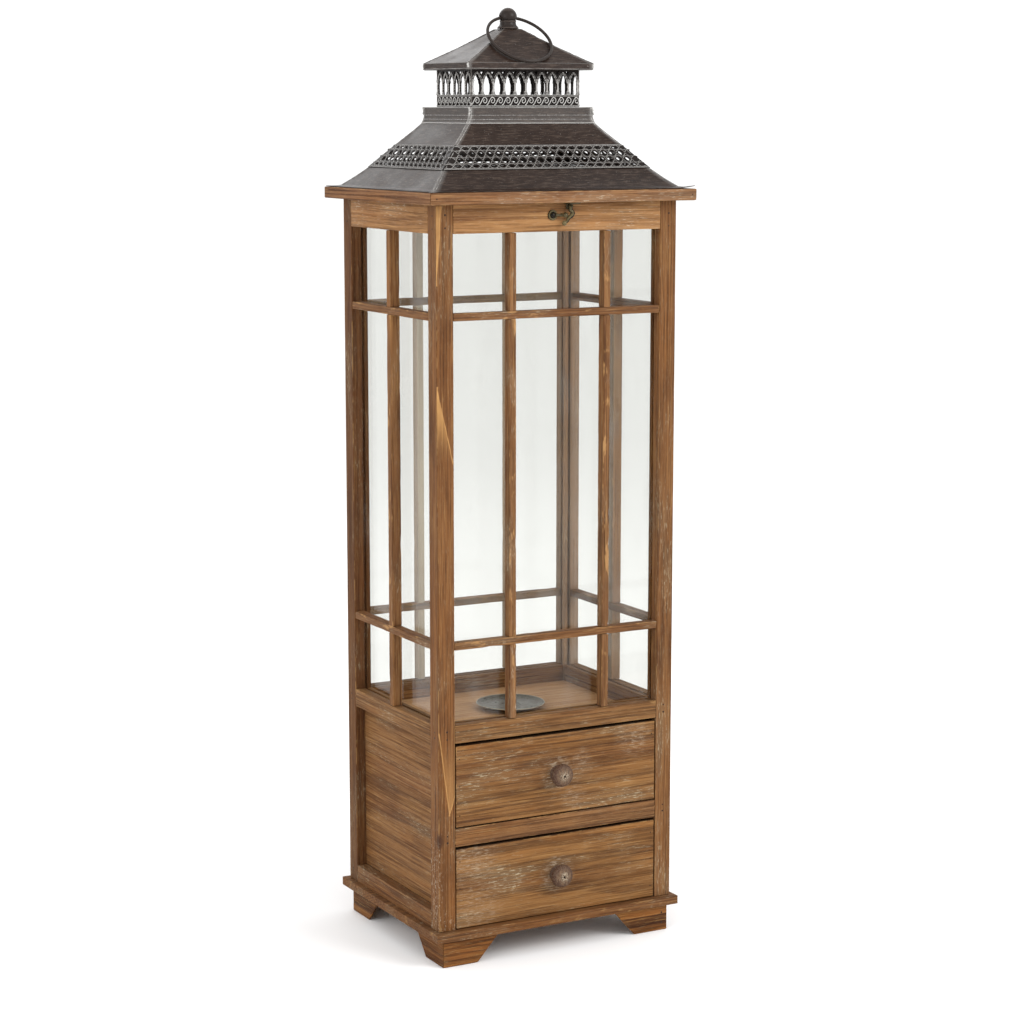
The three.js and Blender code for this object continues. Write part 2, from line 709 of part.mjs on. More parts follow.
// The leaf under the lid's overhang, with the two outer knuckles.
function lidLeaf(x) {
  const half = HINGE_LENGTH / 2;
  const inner = MIDDLE_KNUCKLE / 2 + KNUCKLE_GAP;
  const axis = [HINGE_Y, HINGE_Z];
  const top = LID_BOTTOM - GAP;
  const plate = block([x - half, HINGE_Y - 0.5, top - LEAF], [x + half, LID_Y - 1.5, top]);
  const slot = block([x - inner, HINGE_Y - 1, top - LEAF - 1], [x + inner, HINGE_Y + 3.2, top + 1]);
  const knuckles = join(
    cut(plate, slot),
    rod("x", axis, KNUCKLE_RADIUS, x - half, x - inner, 16),
    rod("x", axis, KNUCKLE_RADIUS, x + inner, x + half, 16),
  );
  const bore = rod("x", axis, PIN_RADIUS + PIN_PLAY, x - half - 1, x + half + 1, 16);
  return cut(knuckles, bore);
}

for (const [side, sx] of Object.entries(SIDES)) {
  add(cabinet, `hinge_cabinet_leaf_${side}`, cabinetLeaf(sx * HINGE_X), BRONZE);
  add(lid, `hinge_lid_leaf_${side}`, lidLeaf(sx * HINGE_X), BRONZE);
}

// ---- Latch -------------------------------------------------------------------------------------------

// The keeper on the front rail: a rose, an arm and a stud with a ball end that the lever hooks under.
function latchKeeper() {
  const face = -BODY_Y - GAP;
  const rose = [
    [0, 0], [5.4, 0], [5.4, 0.9], [4.4, 1.7], [2.2, 2.2], [0, 2.2],
  ];
  const disc = turned(rose, 24).rotateX(Math.PI / 2).translate(ROSE_X, face, ROSE_Z);
  const arm = block([ROSE_X, face - 1.5, ROSE_Z - 1.3], [STUD_X, face, ROSE_Z + 1.3]);
  const stud = rod("y", [STUD_Z, STUD_X], 1.5, face - 7, face, 12);
  const ball = new THREE.SphereGeometry(2.6, 12, 8).translate(STUD_X, face - 6.4, STUD_Z);
  return join(disc, arm, stud, ball);
}

// The bracket under the lid's overhang, with the pin that the lever hangs from.
function latchBracket() {
  const top = LID_BOTTOM - GAP;
  const tabBack = -BODY_Y - 1.8;
  const half = 6;
  return join(
    block([LEVER_X - half, -LID_Y + 2, top - LEAF], [LEVER_X + half, tabBack, top]),
    block([LEVER_X - 3.6, tabBack - LEAF, LEVER_Z - 3], [LEVER_X + 3.6, tabBack, top]),
    rod("y", [LEVER_Z, LEVER_X], 1, LEVER_BACK_Y - LEVER_THICK - 1, tabBack, 12),
  );
}

// The lever: an eye on the bracket's pin, and an S that hooks round and under the stud.
function latchLever() {
  const middle = LEVER_BACK_Y - LEVER_THICK / 2;
  const route = [
    [LEVER_X, LEVER_Z - 1.8], [10.2, 783.6], [12.8, 780.4], [10.6, 777.6], [7.9, 775.4], [6.2, 772.4],
    [2.9, 770.4],
  ];
  const curve = new THREE.CatmullRomCurve3(route.map(([x, z]) => new THREE.Vector3(x, middle, z)));
  const section = new THREE.Shape();
  section.absarc(0, 0, LEVER_ROD, 0, 2 * Math.PI);
  const bar = new THREE.ExtrudeGeometry(section, {
    steps: 20,
    curveSegments: 5,
    extrudePath: curve,
  });
  const [endX, endZ] = route.at(-1);
  const front = middle - LEVER_THICK / 2;
  const eye = rod("y", [LEVER_Z, LEVER_X], 2.4, front, front + LEVER_THICK, 16);
  const bob = new THREE.SphereGeometry(2, 12, 8).translate(endX, middle, endZ);
  const bore = rod("y", [LEVER_Z, LEVER_X], 1.08, front - 1, front + LEVER_THICK + 1, 12);
  return cut(join(eye, bar, bob), bore);
}

add(cabinet, "latch_keeper", latchKeeper(), BRONZE);
add(lid, "latch_bracket", latchBracket(), BRONZE);
add(lid, "latch_lever", latchLever(), BRONZE);

export default lantern;
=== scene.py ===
"""The looks of a tall candle lantern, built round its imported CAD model.

A glazed wooden cabinet stands on bracket feet, with two drawers under the candle deck. A hinged lid
carries a hood of thin sheet metal: a flared skirt, a pierced band, a collar, an arcaded gallery, a cap
and a finial with a ring. Everything is in metres in the model's own frame: -Y is the front, +Z is up.
"""

import json
import math
import random

import bmesh
import bpy
import numpy as np
from mathutils import Matrix, Vector, noise


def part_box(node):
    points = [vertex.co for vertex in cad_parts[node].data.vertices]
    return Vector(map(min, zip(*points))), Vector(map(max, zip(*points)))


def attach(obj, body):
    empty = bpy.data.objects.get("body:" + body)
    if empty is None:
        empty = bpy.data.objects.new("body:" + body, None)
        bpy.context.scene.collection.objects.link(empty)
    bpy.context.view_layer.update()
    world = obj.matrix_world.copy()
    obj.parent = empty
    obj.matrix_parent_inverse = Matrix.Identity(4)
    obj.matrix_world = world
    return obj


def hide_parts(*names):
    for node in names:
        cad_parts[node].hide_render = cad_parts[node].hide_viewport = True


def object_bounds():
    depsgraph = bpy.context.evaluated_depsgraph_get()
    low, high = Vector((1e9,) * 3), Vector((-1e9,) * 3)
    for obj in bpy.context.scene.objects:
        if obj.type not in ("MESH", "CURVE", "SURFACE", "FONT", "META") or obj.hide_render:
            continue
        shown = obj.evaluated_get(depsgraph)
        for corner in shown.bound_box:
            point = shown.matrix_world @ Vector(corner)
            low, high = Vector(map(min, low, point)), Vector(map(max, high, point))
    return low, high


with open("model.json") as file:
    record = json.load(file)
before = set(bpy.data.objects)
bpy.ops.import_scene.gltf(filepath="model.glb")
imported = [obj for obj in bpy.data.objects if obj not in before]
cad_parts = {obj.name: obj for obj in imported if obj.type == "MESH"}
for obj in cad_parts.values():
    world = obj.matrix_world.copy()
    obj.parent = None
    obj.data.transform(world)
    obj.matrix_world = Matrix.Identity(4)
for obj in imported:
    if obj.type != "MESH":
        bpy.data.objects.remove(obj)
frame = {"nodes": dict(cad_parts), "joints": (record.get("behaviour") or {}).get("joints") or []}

CAD_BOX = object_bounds()
MM = 0.001
SEED = 31
rng = random.Random(SEED)
noise.seed_set(SEED)

WALLS = {"front": (0, -1), "back": (0, 1), "left": (-1, 0), "right": (1, 0)}
CORNERS = ["front_left", "front_right", "back_left", "back_right"]
GRAINS = {"x": 0, "y": 1, "z": 2}


# ---- Materials ---------------------------------------------------------------------------------------


class Graph:
    """A material's node tree, with short ways to add to it. Values are sockets or constants."""

    def __init__(self, name):
        self.material = bpy.data.materials.new(name)
        self.material.use_nodes = True
        self.tree = self.material.node_tree
        self.tree.nodes.clear()

    def feed(self, socket, value):
        if isinstance(value, bpy.types.NodeSocket):
            self.tree.links.new(value, socket)
        else:
            socket.default_value = value

    def add(self, kind, inputs=None, **settings):
        node = self.tree.nodes.new("ShaderNode" + kind)
        for name, value in settings.items():
            setattr(node, name, value)
        for name, value in (inputs or {}).items():
            self.feed(node.inputs[name], value)
        return node

    def attribute(self, name, output="Fac"):
        return self.add("Attribute", attribute_name=name).outputs[output]

    def place(self):
        """The point on the piece at rest, in metres."""
        return self.add("TexCoord").outputs["Object"]

    def stretch(self, vector, scales):
        node = self.add("VectorMath", operation="MULTIPLY")
        self.feed(node.inputs[0], vector)
        self.feed(node.inputs[1], scales)
        return node.outputs[0]

    def split(self, vector):
        return self.add("SeparateXYZ", {"Vector": vector}).outputs

    def math(self, operation, *values):
        node = self.add("Math", operation=operation)
        for socket, value in zip(node.inputs, values):
            self.feed(socket, value)
        return node.outputs[0]

    def times(self, first, second):
        return self.math("MULTIPLY", first, second)

    def plus(self, first, second):
        return self.math("ADD", first, second)

    def noise(self, vector, scales, detail=2.0, roughness=0.5, distortion=0.0):
        """Noise from 0 to 1, with its own number of cells per metre along each axis."""
        inputs = {
            "Vector": self.stretch(vector, scales),
            "Scale": 1.0,
            "Detail": detail,
            "Roughness": roughness,
            "Distortion": distortion,
        }
        return self.add("TexNoise", inputs).outputs["Fac"]

    def step(self, value, low, high, start=0.0, end=1.0):
        """A smooth step of value between low and high, to between start and end."""
        names = ("Value", "From Min", "From Max", "To Min", "To Max")
        inputs = dict(zip(names, (value, low, high, start, end)))
        return self.add("MapRange", inputs, interpolation_type="SMOOTHSTEP").outputs["Result"]

    def mix(self, share, first, second, blend="MIX"):
        """A blend of two colours."""
        node = self.add("Mix", data_type="RGBA", blend_type=blend)
        for index, value in ((0, share), (6, first), (7, second)):
            self.feed(node.inputs[index], value)
        return node.outputs[2]

    def tint(self, colour, value, low, high, share, other):
        """The colour mixed with another, by nothing where value is at low and by share at high."""
        return self.mix(self.step(value, low, high, 0.0, share), colour, other)

    def distance(self, first, second):
        return self.add("VectorMath", {0: first, 1: second}, operation="DISTANCE").outputs["Value"]

    def bump(self, height, depth, strength):
        inputs = {"Height": height, "Distance": depth, "Strength": strength}
        return self.add("Bump", inputs).outputs["Normal"]

    def blend_shaders(self, share, first, second):
        node = self.add("MixShader")
        for socket, value in zip(node.inputs, (share, first, second)):
            self.feed(socket, value)
        return node.outputs[0]

    def finish(self, **inputs):
        """The surface shader and the output. An input's name has _ for each space."""
        named = {name.replace("_", " "): value for name, value in inputs.items()}
        self.add("OutputMaterial", {"Surface": self.add("BsdfPrincipled", named).outputs[0]})
        return self.material


def rgb(red, green, blue):
    """A display colour, 0 to 255, as the linear colour that nodes take."""
    linear = [((c / 255 + 0.055) / 1.055) ** 2.4 if c > 10 else c / 3295 for c in (red, green, blue)]
    return (*linear, 1.0)


STAIN = (0.7, 0.68, 0.58)


def wood(
    name, early, late, ring=3.2, contrast=0.75, chalk=0.5, wear=0.6, gold=0.3, stain=STAIN, extra=None
):
    """Stained softwood. The grain attribute holds each point's place along its board and from the heart
    of its log, edge its distance from the board's nearest arris, and tone how dark the board is, above 1
    for painted shade in a narrow gap and below 0 for bare wood. extra adds marks of its own: it takes
    the graph and the colour, and returns the new colour."""
    g = Graph(name)
    grain = g.attribute("grain", "Vector")
    edge = g.attribute("edge")
    tone = g.attribute("tone")
    _, across, deep = g.split(grain)
    dark = g.mix(1.0, late, rgb(186, 168, 150), "MULTIPLY")

    # Growth rings: the distance from the heart, wavering along the board, in bands that end sharply.
    waver = g.noise(grain, (5.0, 26.0, 26.0), 2.0)
    drift = g.noise(grain, (1.4, 7.0, 7.0), 1.0)
    flat = g.add("CombineXYZ", {"X": across, "Y": deep, "Z": 0.0}).outputs[0]
    heart = g.add("VectorMath", {0: flat}, operation="LENGTH").outputs["Value"]
    heart = g.plus(heart, g.times(waver, 5.5 * MM))
    heart = g.plus(heart, g.times(drift, 16 * MM))
    turns = g.math("FRACT", g.math("DIVIDE", heart, ring * MM))
    rise = g.step(turns, 0.42, 0.9)
    fall = g.step(turns, 0.9, 1.0, 1.0, 0.0)
    late_band = g.times(rise, fall)

    fibre = g.noise(grain, (20.0, 820.0, 820.0), 3.0, 0.6)
    strand = g.noise(grain, (4.5, 330.0, 330.0), 3.0, 0.6)
    sweep = g.noise(grain, (2.5, 95.0, 95.0), 3.0, 0.55)
    blotch = g.noise(grain, (11.0, 30.0, 30.0), 3.0, 0.6)
    cloud = g.noise(grain, (3.0, 9.0, 9.0), 1.0)
    warm = g.noise(grain, (6.0, 40.0, 40.0), 3.0, 0.6)

    strength = g.times(late_band, g.step(cloud, 0.25, 0.7, contrast * 0.4, contrast))
    colour = g.mix(strength, early, late)
    colour = g.tint(colour, warm, 0.5, 0.72, gold, rgb(170, 108, 48))
    russet = g.noise(grain, (1.8, 22.0, 22.0), 2.0, 0.5)
    colour = g.tint(colour, russet, 0.48, 0.7, 0.38, g.mix(0.5, late, rgb(122, 66, 34)))
    colour = g.tint(colour, sweep, 0.45, 0.75, 0.3 * contrast, late)
    colour = g.tint(colour, blotch, 0.5, 0.78, 0.45, dark)
    pale = g.mix(0.4, early, rgb(190, 146, 98))
    colour = g.tint(colour, blotch, 0.5, 0.25, 0.4, pale)
    colour = g.tint(colour, strand, 0.5, 0.64, 0.55 * contrast, dark)
    colour = g.tint(colour, strand, 0.44, 0.32, 0.5 * contrast, pale)

    # Knots: small dark eyes with a ring of dark grain round them, one or two to a board.
    cells = g.stretch(grain, (6.0, 15.0, 15.0))
    knot = g.add("TexVoronoi", {"Vector": cells, "Scale": 1.0, "Randomness": 1.0}).outputs["Distance"]
    wavering = g.plus(knot, g.times(warm, 0.05))
    knot_ring = g.math("FRACT", g.times(wavering, 26.0))
    near = g.step(knot, 0.05, 0.13, 1.0, 0.0)
    colour = g.mix(g.times(near, g.step(knot_ring, 0.2, 0.9, 0.1, 0.6)), colour, dark)
    colour = g.mix(g.step(knot, 0.02, 0.055, 0.75, 0.0), colour, rgb(62, 36, 20))

    # Fibres, the board's own tone, chalky paint left in the grain, and bare wood along the arrises.
    colour = g.tint(colour, fibre, 0.52, 0.62, 0.5, dark)
    colour = g.tint(colour, fibre, 0.42, 0.3, 0.5, rgb(192, 150, 100))
    colour = g.tint(colour, tone, 0.0, 1.0, 0.5, dark)
    # Painted shade: tone above 1 darkens a face almost to black, for the shade in a narrow gap.
    painted_gap_shade = g.step(tone, 1.0, 2.0, 0.0, 0.93)
    unstained = g.step(tone, 0.0, -1.0)
    flecks = g.noise(grain, (110.0, 950.0, 950.0), 3.0, 0.65)
    patch = g.noise(grain, (10.0, 34.0, 34.0), 3.0, 0.6)
    chalky = g.times(g.step(flecks, 0.56, 0.66), g.step(patch, 0.5, 0.68, 0.08, chalk))
    colour = g.mix(chalky, colour, rgb(206, 192, 170))
    haze = g.times(g.step(patch, 0.48, 0.75), chalk * 0.42)
    colour = g.mix(g.times(haze, g.step(strand, 0.3, 0.6, 0.3, 1.0)), colour, rgb(158, 142, 122))
    rubbed = g.noise(grain, (34.0, 130.0, 130.0), 3.0, 0.65)
    limit = g.step(rubbed, 0.44, 0.7, 0.0, 1.1 * MM)
    bare = g.times(g.step(g.math("SUBTRACT", limit, edge), 0.0, 0.5 * MM), wear)
    colour = g.mix(bare, colour, rgb(176, 136, 92))
    colour = g.mix(1.0, colour, (*stain, 1.0), "MULTIPLY")
    unstained = g.times(unstained, g.step(strand, 0.35, 0.7, 1.0, 0.8))
    colour = g.mix(unstained, colour, rgb(214, 196, 172))
    if extra is not None:
        colour = extra(g, colour)
    # The painted gap shade goes over all the other marks.
    colour = g.mix(painted_gap_shade, colour, rgb(26, 15, 8))

    height = g.plus(g.times(late_band, 0.35), g.times(fibre, 0.7))
    height = g.plus(height, g.times(strand, 0.9))
    height = g.math("SUBTRACT", height, g.step(knot, 0.02, 0.06, 0.8, 0.0))
    roughness = g.step(strand, 0.2, 0.8, 0.6, 0.8)
    return g.finish(
        Base_Color=colour,
        Roughness=roughness,
        Specular_IOR_Level=0.16,
        Normal=g.bump(height, 0.35 * MM, 0.6),
    )


def sapwood_streaks(wedges, arris_x, width):
    """Pale unstained wedges on a post's front face. Each wedge has a point at (height, share of the
    width), and another height where its two sides have reached their own shares of the width. It is
    filled as strongly as its last two numbers say, at the point and at the other end."""

    def build(g, colour):
        point = g.split(g.place())
        ragged = g.noise(g.place(), (400.0, 400.0, 60.0), 3.0, 0.6)
        inward = g.math("DIVIDE", g.math("SUBTRACT", point[0], arris_x), width)
        inward = g.plus(inward, g.times(g.math("SUBTRACT", ragged, 0.5), 0.1))
        total = 0.0
        for (tip, tip_share), (end, *sides), tip_fill, end_fill in wedges:
            t = g.math("DIVIDE", g.math("SUBTRACT", point[2], tip), end - tip)
            within = g.times(g.step(t, 0.0, 0.01), g.step(t, 0.97, 1.0, 1.0, 0.0))
            inside, lines = within, 0.0
            for side, sign in zip(sides, (1.0, -1.0)):
                border = g.plus(tip_share, g.times(t, side - tip_share))
                depth = g.times(g.math("SUBTRACT", inward, border), sign)
                inside = g.times(inside, g.step(depth, 0.0, 0.03))
                line = g.times(g.step(depth, -0.02, 0.02), g.step(depth, 0.03, 0.09, 1.0, 0.0))
                lines = g.math("MAXIMUM", lines, g.times(line, within))
            fill = g.times(inside, g.step(t, 0.0, 1.0, tip_fill, end_fill))
            total = g.math("MAXIMUM", total, g.math("MAXIMUM", fill, g.times(lines, 0.7)))
        front = g.step(point[1], CAD_BOX[0].y + 17.5 * MM, CAD_BOX[0].y + 18 * MM, 1.0, 0.0)
        shaded = g.times(g.times(total, front), g.step(ragged, 0.3, 0.7, 1.0, 0.7))
        return g.mix(shaded, colour, rgb(190, 144, 88))

    return build


def chalk_marks(marks):
    """Chalk rubbed into a front, each mark thick out to one distance from a point and gone at another."""

    def build(g, colour):
        point = g.place()
        scuffs = g.noise(g.stretch(point, (1.0, 0.0, 1.0)), (110.0, 1.0, 780.0), 4.0, 0.7)
        total = 0.0
        for centre, thick, gone, strength in marks:
            away = g.distance(point, tuple(centre))
            total = g.math("MAXIMUM", total, g.step(away, thick, gone, strength, 0.0))
        share = g.times(total, g.step(scuffs, 0.48, 0.64, 0.08, 0.8))
        return g.mix(share, colour, rgb(178, 160, 136))

    return build


def post_marks(streaks, arris):
    """The front left post: sapwood streaks, a knot on its arris, and chalk on its lowest part."""

    def build(g, colour):
        colour = streaks(g, colour)
        point = g.place()
        place = g.split(point)
        flattened = 0.6
        flat = g.stretch(point, (1.0, 1.0, flattened))
        knot_at = (arris.x, arris.y, POST_KNOT_Z * flattened)
        away = g.distance(flat, knot_at)
        ragged = g.noise(point, (260.0, 260.0, 160.0), 4.0, 0.65)
        away = g.plus(away, g.times(ragged, 3.0 * MM))
        colour = g.mix(g.step(away, 4.0 * MM, 8.5 * MM, 0.85, 0.0), colour, rgb(62, 38, 24))
        inward = g.math("SUBTRACT", place[0], arris.x)
        beside = g.step(inward, 0.5 * MM, 6 * MM, 1.0, 0.0)
        near = g.times(beside, g.step(place[2], 0.1, 0.165, 1.0, 0.0))
        low = g.step(place[2], 0.045, 0.07, 1.0, 0.0)
        flecks = g.noise(point, (700.0, 700.0, 300.0), 4.0, 0.7)
        low = g.times(low, 0.7)
        share = g.times(g.math("MAXIMUM", near, low), g.step(flecks, 0.54, 0.66, 0.0, 0.62))
        return g.mix(share, colour, rgb(184, 168, 144))

    return build


def sheet_metal(name, base, brushed, gloss=0.3, speck=0.16):
    """Dark painted sheet, rubbed with silver and given a painted sheen where the highlight attribute is
    high, and black where it is below zero: dirt in the hollows and painted shade behind the relief."""
    g = Graph(name)
    point = g.place()
    lit = g.attribute("highlight")
    cloud = g.noise(point, (26.0, 26.0, 40.0), 3.0, 0.6)
    grit = g.noise(point, (900.0, 900.0, 900.0), 3.0, 0.6)
    brush = g.noise(point, (90.0, 90.0, 1100.0), 3.0, 0.6)
    dust = g.noise(point, (420.0, 420.0, 420.0), 1.0)
    colour = g.mix(g.step(cloud, 0.35, 0.75, 0.0, 0.5), base, rgb(56, 44, 38))
    colour = g.tint(colour, brush, 0.48, 0.7, 0.6, rgb(80, 67, 58))
    colour = g.tint(colour, brush, 0.45, 0.25, 0.7, rgb(16, 10, 7))
    colour = g.tint(colour, grit, 0.64, 0.75, speck, brushed)
    colour = g.tint(colour, dust, 0.8, 0.84, 0.8, rgb(206, 200, 192))
    # Rubbed silver on the relief, and painted sheen where a whole sheet's highlight is lifted.
    rub_and_sheen = g.times(g.math("MAXIMUM", lit, 0.0), g.step(grit, 0.25, 0.55, 0.35, 1.0))
    colour = g.mix(rub_and_sheen, colour, brushed)
    # Painted shade: near black where the highlight is below zero, on the sunk ground of the band and gallery
    # and on the far sides of their wires.
    colour = g.mix(g.step(lit, -0.5, 0.0, 0.85, 0.0), colour, rgb(14, 10, 8))
    height = g.plus(g.times(grit, 0.5), g.times(cloud, 1.6))
    height = g.plus(height, g.times(brush, 0.4))
    roughness = g.step(cloud, 0.25, 0.75, gloss, gloss + 0.14)
    return g.finish(
        Base_Color=colour,
        Metallic=g.times(rub_and_sheen, 0.4),
        Specular_IOR_Level=0.15,
        Roughness=roughness,
        Normal=g.bump(height, 0.3 * MM, 0.4),
    )


def cast_metal(name, base, worn, gloss=0.3, metallic=0.6, shine=0.5):
    """Antiqued solid metal, paler where the highlight attribute is high: rubbed by hands and cloths, and
    painted highlights.
    """
    g = Graph(name)
    point = g.place()
    lit = g.attribute("highlight")
    cloud = g.noise(point, (220.0, 220.0, 220.0), 3.0, 0.6)
    grit = g.noise(point, (1600.0, 1600.0, 1600.0), 2.0, 0.6)
    share = g.times(g.step(cloud, 0.45, 0.75), 0.12)
    # Wear from hands and cloths, and painted highlights, from the highlight attribute.
    wear_and_highlight = g.times(g.math("MAXIMUM", lit, 0.0), g.step(cloud, 0.2, 0.6, 0.4, 1.0))
    share = g.math("MAXIMUM", share, wear_and_highlight)
    colour = g.mix(share, base, worn)
    colour = g.tint(colour, grit, 0.62, 0.8, 0.35, worn)
    return g.finish(
        Base_Color=colour,
        Metallic=metallic,
        Specular_IOR_Level=shine,
        Roughness=g.step(cloud, 0.3, 0.7, gloss, gloss + 0.2),
        Normal=g.bump(g.plus(cloud, g.times(grit, 0.3)), 0.25 * MM, 0.3),
    )


def turned_wood(name):
    """A stained knob: painted shade round the rim and on its back, chalky on the face. tone is the distance
    from the middle.
    """
    g = Graph(name)
    grain = g.attribute("grain", "Vector")
    reach = g.attribute("tone")
    streak = g.noise(grain, (60.0, 700.0, 160.0), 3.0, 0.6)
    spots = g.noise(grain, (900.0, 900.0, 900.0), 3.0, 0.6)
    colour = g.mix(g.step(streak, 0.35, 0.7), rgb(98, 72, 50), rgb(62, 40, 25))
    # Painted shade: darker towards the rim, where the head turns away from the light.
    rim = g.times(g.step(reach, 0.6, 0.85), g.step(spots, 0.3, 0.6, 1.0, 0.7))
    colour = g.mix(rim, colour, rgb(62, 34, 18))
    face = g.step(reach, 0.12, 0.62, 0.8, 0.1)
    colour = g.mix(g.times(face, g.step(spots, 0.42, 0.62)), colour, rgb(178, 166, 144))
    colour = g.mix(g.step(reach, 0.07, 0.13, 0.9, 0.0), colour, rgb(40, 28, 20))
    height = g.plus(streak, spots)
    return g.finish(
        Base_Color=colour,
        Roughness=g.step(spots, 0.3, 0.7, 0.55, 0.8),
        Specular_IOR_Level=0.3,
        Normal=g.bump(height, 0.35 * MM, 0.5),
    )


def pane_glass():
    """Thin clear glass: tinted see-through, with a mirror film that grows towards grazing."""
    g = Graph("pane_glass")
    point = g.place()
    wave = g.noise(point, (9.0, 9.0, 9.0), 1.0)
    dust = g.noise(point, (30.0, 30.0, 12.0), 2.0, 0.4)
    normal = g.bump(wave, 0.3 * MM, 0.1)
    clear = g.add("BsdfTransparent", {"Color": (0.925, 0.928, 0.918, 1.0)}).outputs[0]
    shine = g.add("BsdfGlossy", {"Color": (1.0, 1.0, 1.0, 1.0), "Roughness": 0.03, "Normal": normal})
    film = g.add("BsdfDiffuse", {"Color": (0.8, 0.8, 0.78, 1.0)}).outputs[0]
    facing = g.add("LayerWeight", {"Blend": 0.5, "Normal": normal}).outputs["Facing"]
    mirror = g.plus(g.times(g.math("POWER", facing, 5.0), 0.7), 0.014)
    clean = g.blend_shaders(mirror, clear, shine.outputs[0])
    dusty = g.blend_shaders(g.step(dust, 0.5, 0.8, 0.0, 0.03), clean, film)
    g.add("OutputMaterial", {"Surface": dusty})
    return g.material


POST_KNOT_Z = 137 * MM
POST_LOW, POST_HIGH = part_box("post_front_left")
STREAKS = sapwood_streaks(
    [
        ((0.710, 0.0), (0.791, -0.1, 0.34), 0.7, 0.6),
        ((0.610, 0.0), (0.529, -0.2, 1.0), 0.9, 0.0),
        ((0.162, 0.65), (0.253, 0.0, 2.2), 0.35, 0.0),
    ],
    POST_LOW.x,
    POST_HIGH.x - POST_LOW.x,
)
POST_MARKS = post_marks(STREAKS, POST_LOW)


def centre_of(node):
    """The middle of a CAD node's box."""
    low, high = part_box(node)
    return (low + high) / 2


UPPER_KNOB, LOWER_KNOB = centre_of("drawer_knob_upper"), centre_of("drawer_knob_lower")
KNOB_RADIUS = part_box("drawer_knob_upper")[1].x - UPPER_KNOB.x
CHALK = chalk_marks(
    [
        (UPPER_KNOB, KNOB_RADIUS * 0.9, KNOB_RADIUS * 2.1, 1.0),
        (LOWER_KNOB, KNOB_RADIUS * 0.9, KNOB_RADIUS * 2.1, 1.0),
        (UPPER_KNOB + Vector((29 * MM, 8 * MM, 10 * MM)), 4 * MM, 17 * MM, 0.45),
        (UPPER_KNOB + Vector((94 * MM, 8 * MM, 30 * MM)), 4 * MM, 30 * MM, 0.6),
        (UPPER_KNOB + Vector((20 * MM, 8 * MM, -28 * MM)), 4 * MM, 22 * MM, 0.4),
        (LOWER_KNOB + Vector((-104 * MM, 8 * MM, 32 * MM)), 6 * MM, 48 * MM, 0.55),
        (LOWER_KNOB + Vector((-96 * MM, 8 * MM, -22 * MM)), 6 * MM, 44 * MM, 0.45),
    ]
)


WOOD = {
    "frame": wood("frame_wood", rgb(144, 98, 60), rgb(86, 53, 30), contrast=0.72, chalk=0.5),
    "streaked": wood(
        "streaked_wood", rgb(142, 95, 57), rgb(86, 53, 30), contrast=0.55, chalk=0.45, extra=POST_MARKS
    ),
    "bar": wood("bar_wood", rgb(140, 99, 64), rgb(84, 54, 33), 2.6, 0.8, 0.75, 1.0, stain=(0.8, 0.77, 0.68)),
    "drawer": wood("drawer_wood", rgb(148, 104, 62), rgb(92, 60, 34), 4.6, 0.8, 0.8, 1.0, 0.55, extra=CHALK),
    "panel": wood("panel_wood", rgb(150, 106, 66), rgb(96, 62, 35), 6.0, 0.8, 0.5),
    "rail": wood("rail_wood", rgb(152, 110, 70), rgb(100, 66, 40), 4.0, 0.6, 0.5, stain=(0.99, 1.0, 0.96)),
    "lid": wood("lid_wood", rgb(148, 106, 72), rgb(92, 60, 38), 4.0, 0.9, 0.65, 0.9, stain=(0.74, 0.73, 0.7)),
    "foot": wood("foot_wood", rgb(142, 92, 50), rgb(64, 36, 18), 3.4, 1.0, 0.2, 0.5, stain=(0.86, 0.8, 0.56)),
    "deck": wood(
        "deck_wood", rgb(172, 138, 106), rgb(138, 102, 74), 7.0, 0.4, 0.3, 0.2, 0.1, stain=(1.12, 1.04, 0.88)
    ),
    "divider": wood("divider_wood", rgb(150, 106, 70), rgb(78, 48, 28), 9.0, 1.0, 0.7, 0.9, 0.35),
    "sill": wood("sill_wood", rgb(146, 104, 66), rgb(92, 62, 38), 4.0, 0.8, 0.5, 0.8),
    "raw": wood(
        "raw_wood", rgb(186, 146, 100), rgb(148, 106, 66), 4.5, 0.6, 0.1, 0.2, 0.1, stain=(1.0, 1.0, 1.0)
    ),
    "turned": turned_wood("turned_wood"),
}
METAL = {
    "sheet": sheet_metal("pewter_sheet", rgb(32, 19, 12), rgb(206, 204, 200), speck=0.26),
    "cast": cast_metal("pewter_cast", rgb(30, 22, 18), rgb(88, 76, 68), 0.28, 0.05, 0.22),
    "bronze": cast_metal("antique_bronze", rgb(9, 6, 4), rgb(206, 184, 128), 0.22, 0.1, 0.18),
    "dish": cast_metal("gunmetal", rgb(74, 69, 59), rgb(170, 162, 146), 0.26, 0.6),
    "nail": cast_metal("nail_steel", rgb(40, 26, 17), rgb(84, 66, 50), 0.4, 0.1, 0.2),
}
GLASS = pane_glass()


# ---- Pieces ------------------------------------------------------------------------------------------


def new_object(name, mesh, material):
    piece = bpy.data.objects.new(name, mesh)
    bpy.context.scene.collection.objects.link(piece)
    mesh.materials.clear()
    mesh.materials.append(material)
    return piece


def install(piece, body, slot, *nodes):
    """Says what the piece rides on, and which CAD nodes it stands for. slot is not used."""
    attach(piece, body)
    if nodes:
        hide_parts(*nodes)
    return piece


def mesh_from(name, points, faces):
    mesh = bpy.data.meshes.new(name)
    mesh.from_pydata([tuple(p) for p in points], [], faces)
    mesh.update()
    return mesh


def mesh_of(bm, name):
    """A mesh with what the bmesh holds. The bmesh is gone afterwards."""
    mesh = bpy.data.meshes.new(name)
    bm.to_mesh(mesh)
    bm.free()
    return mesh


def bmesh_from(points, faces):
    """A bmesh with faces given as corner numbers."""
    bm = bmesh.new()
    verts = [bm.verts.new(point) for point in points]
    for face in faces:
        bm.faces.new([verts[i] for i in face])
    return bm


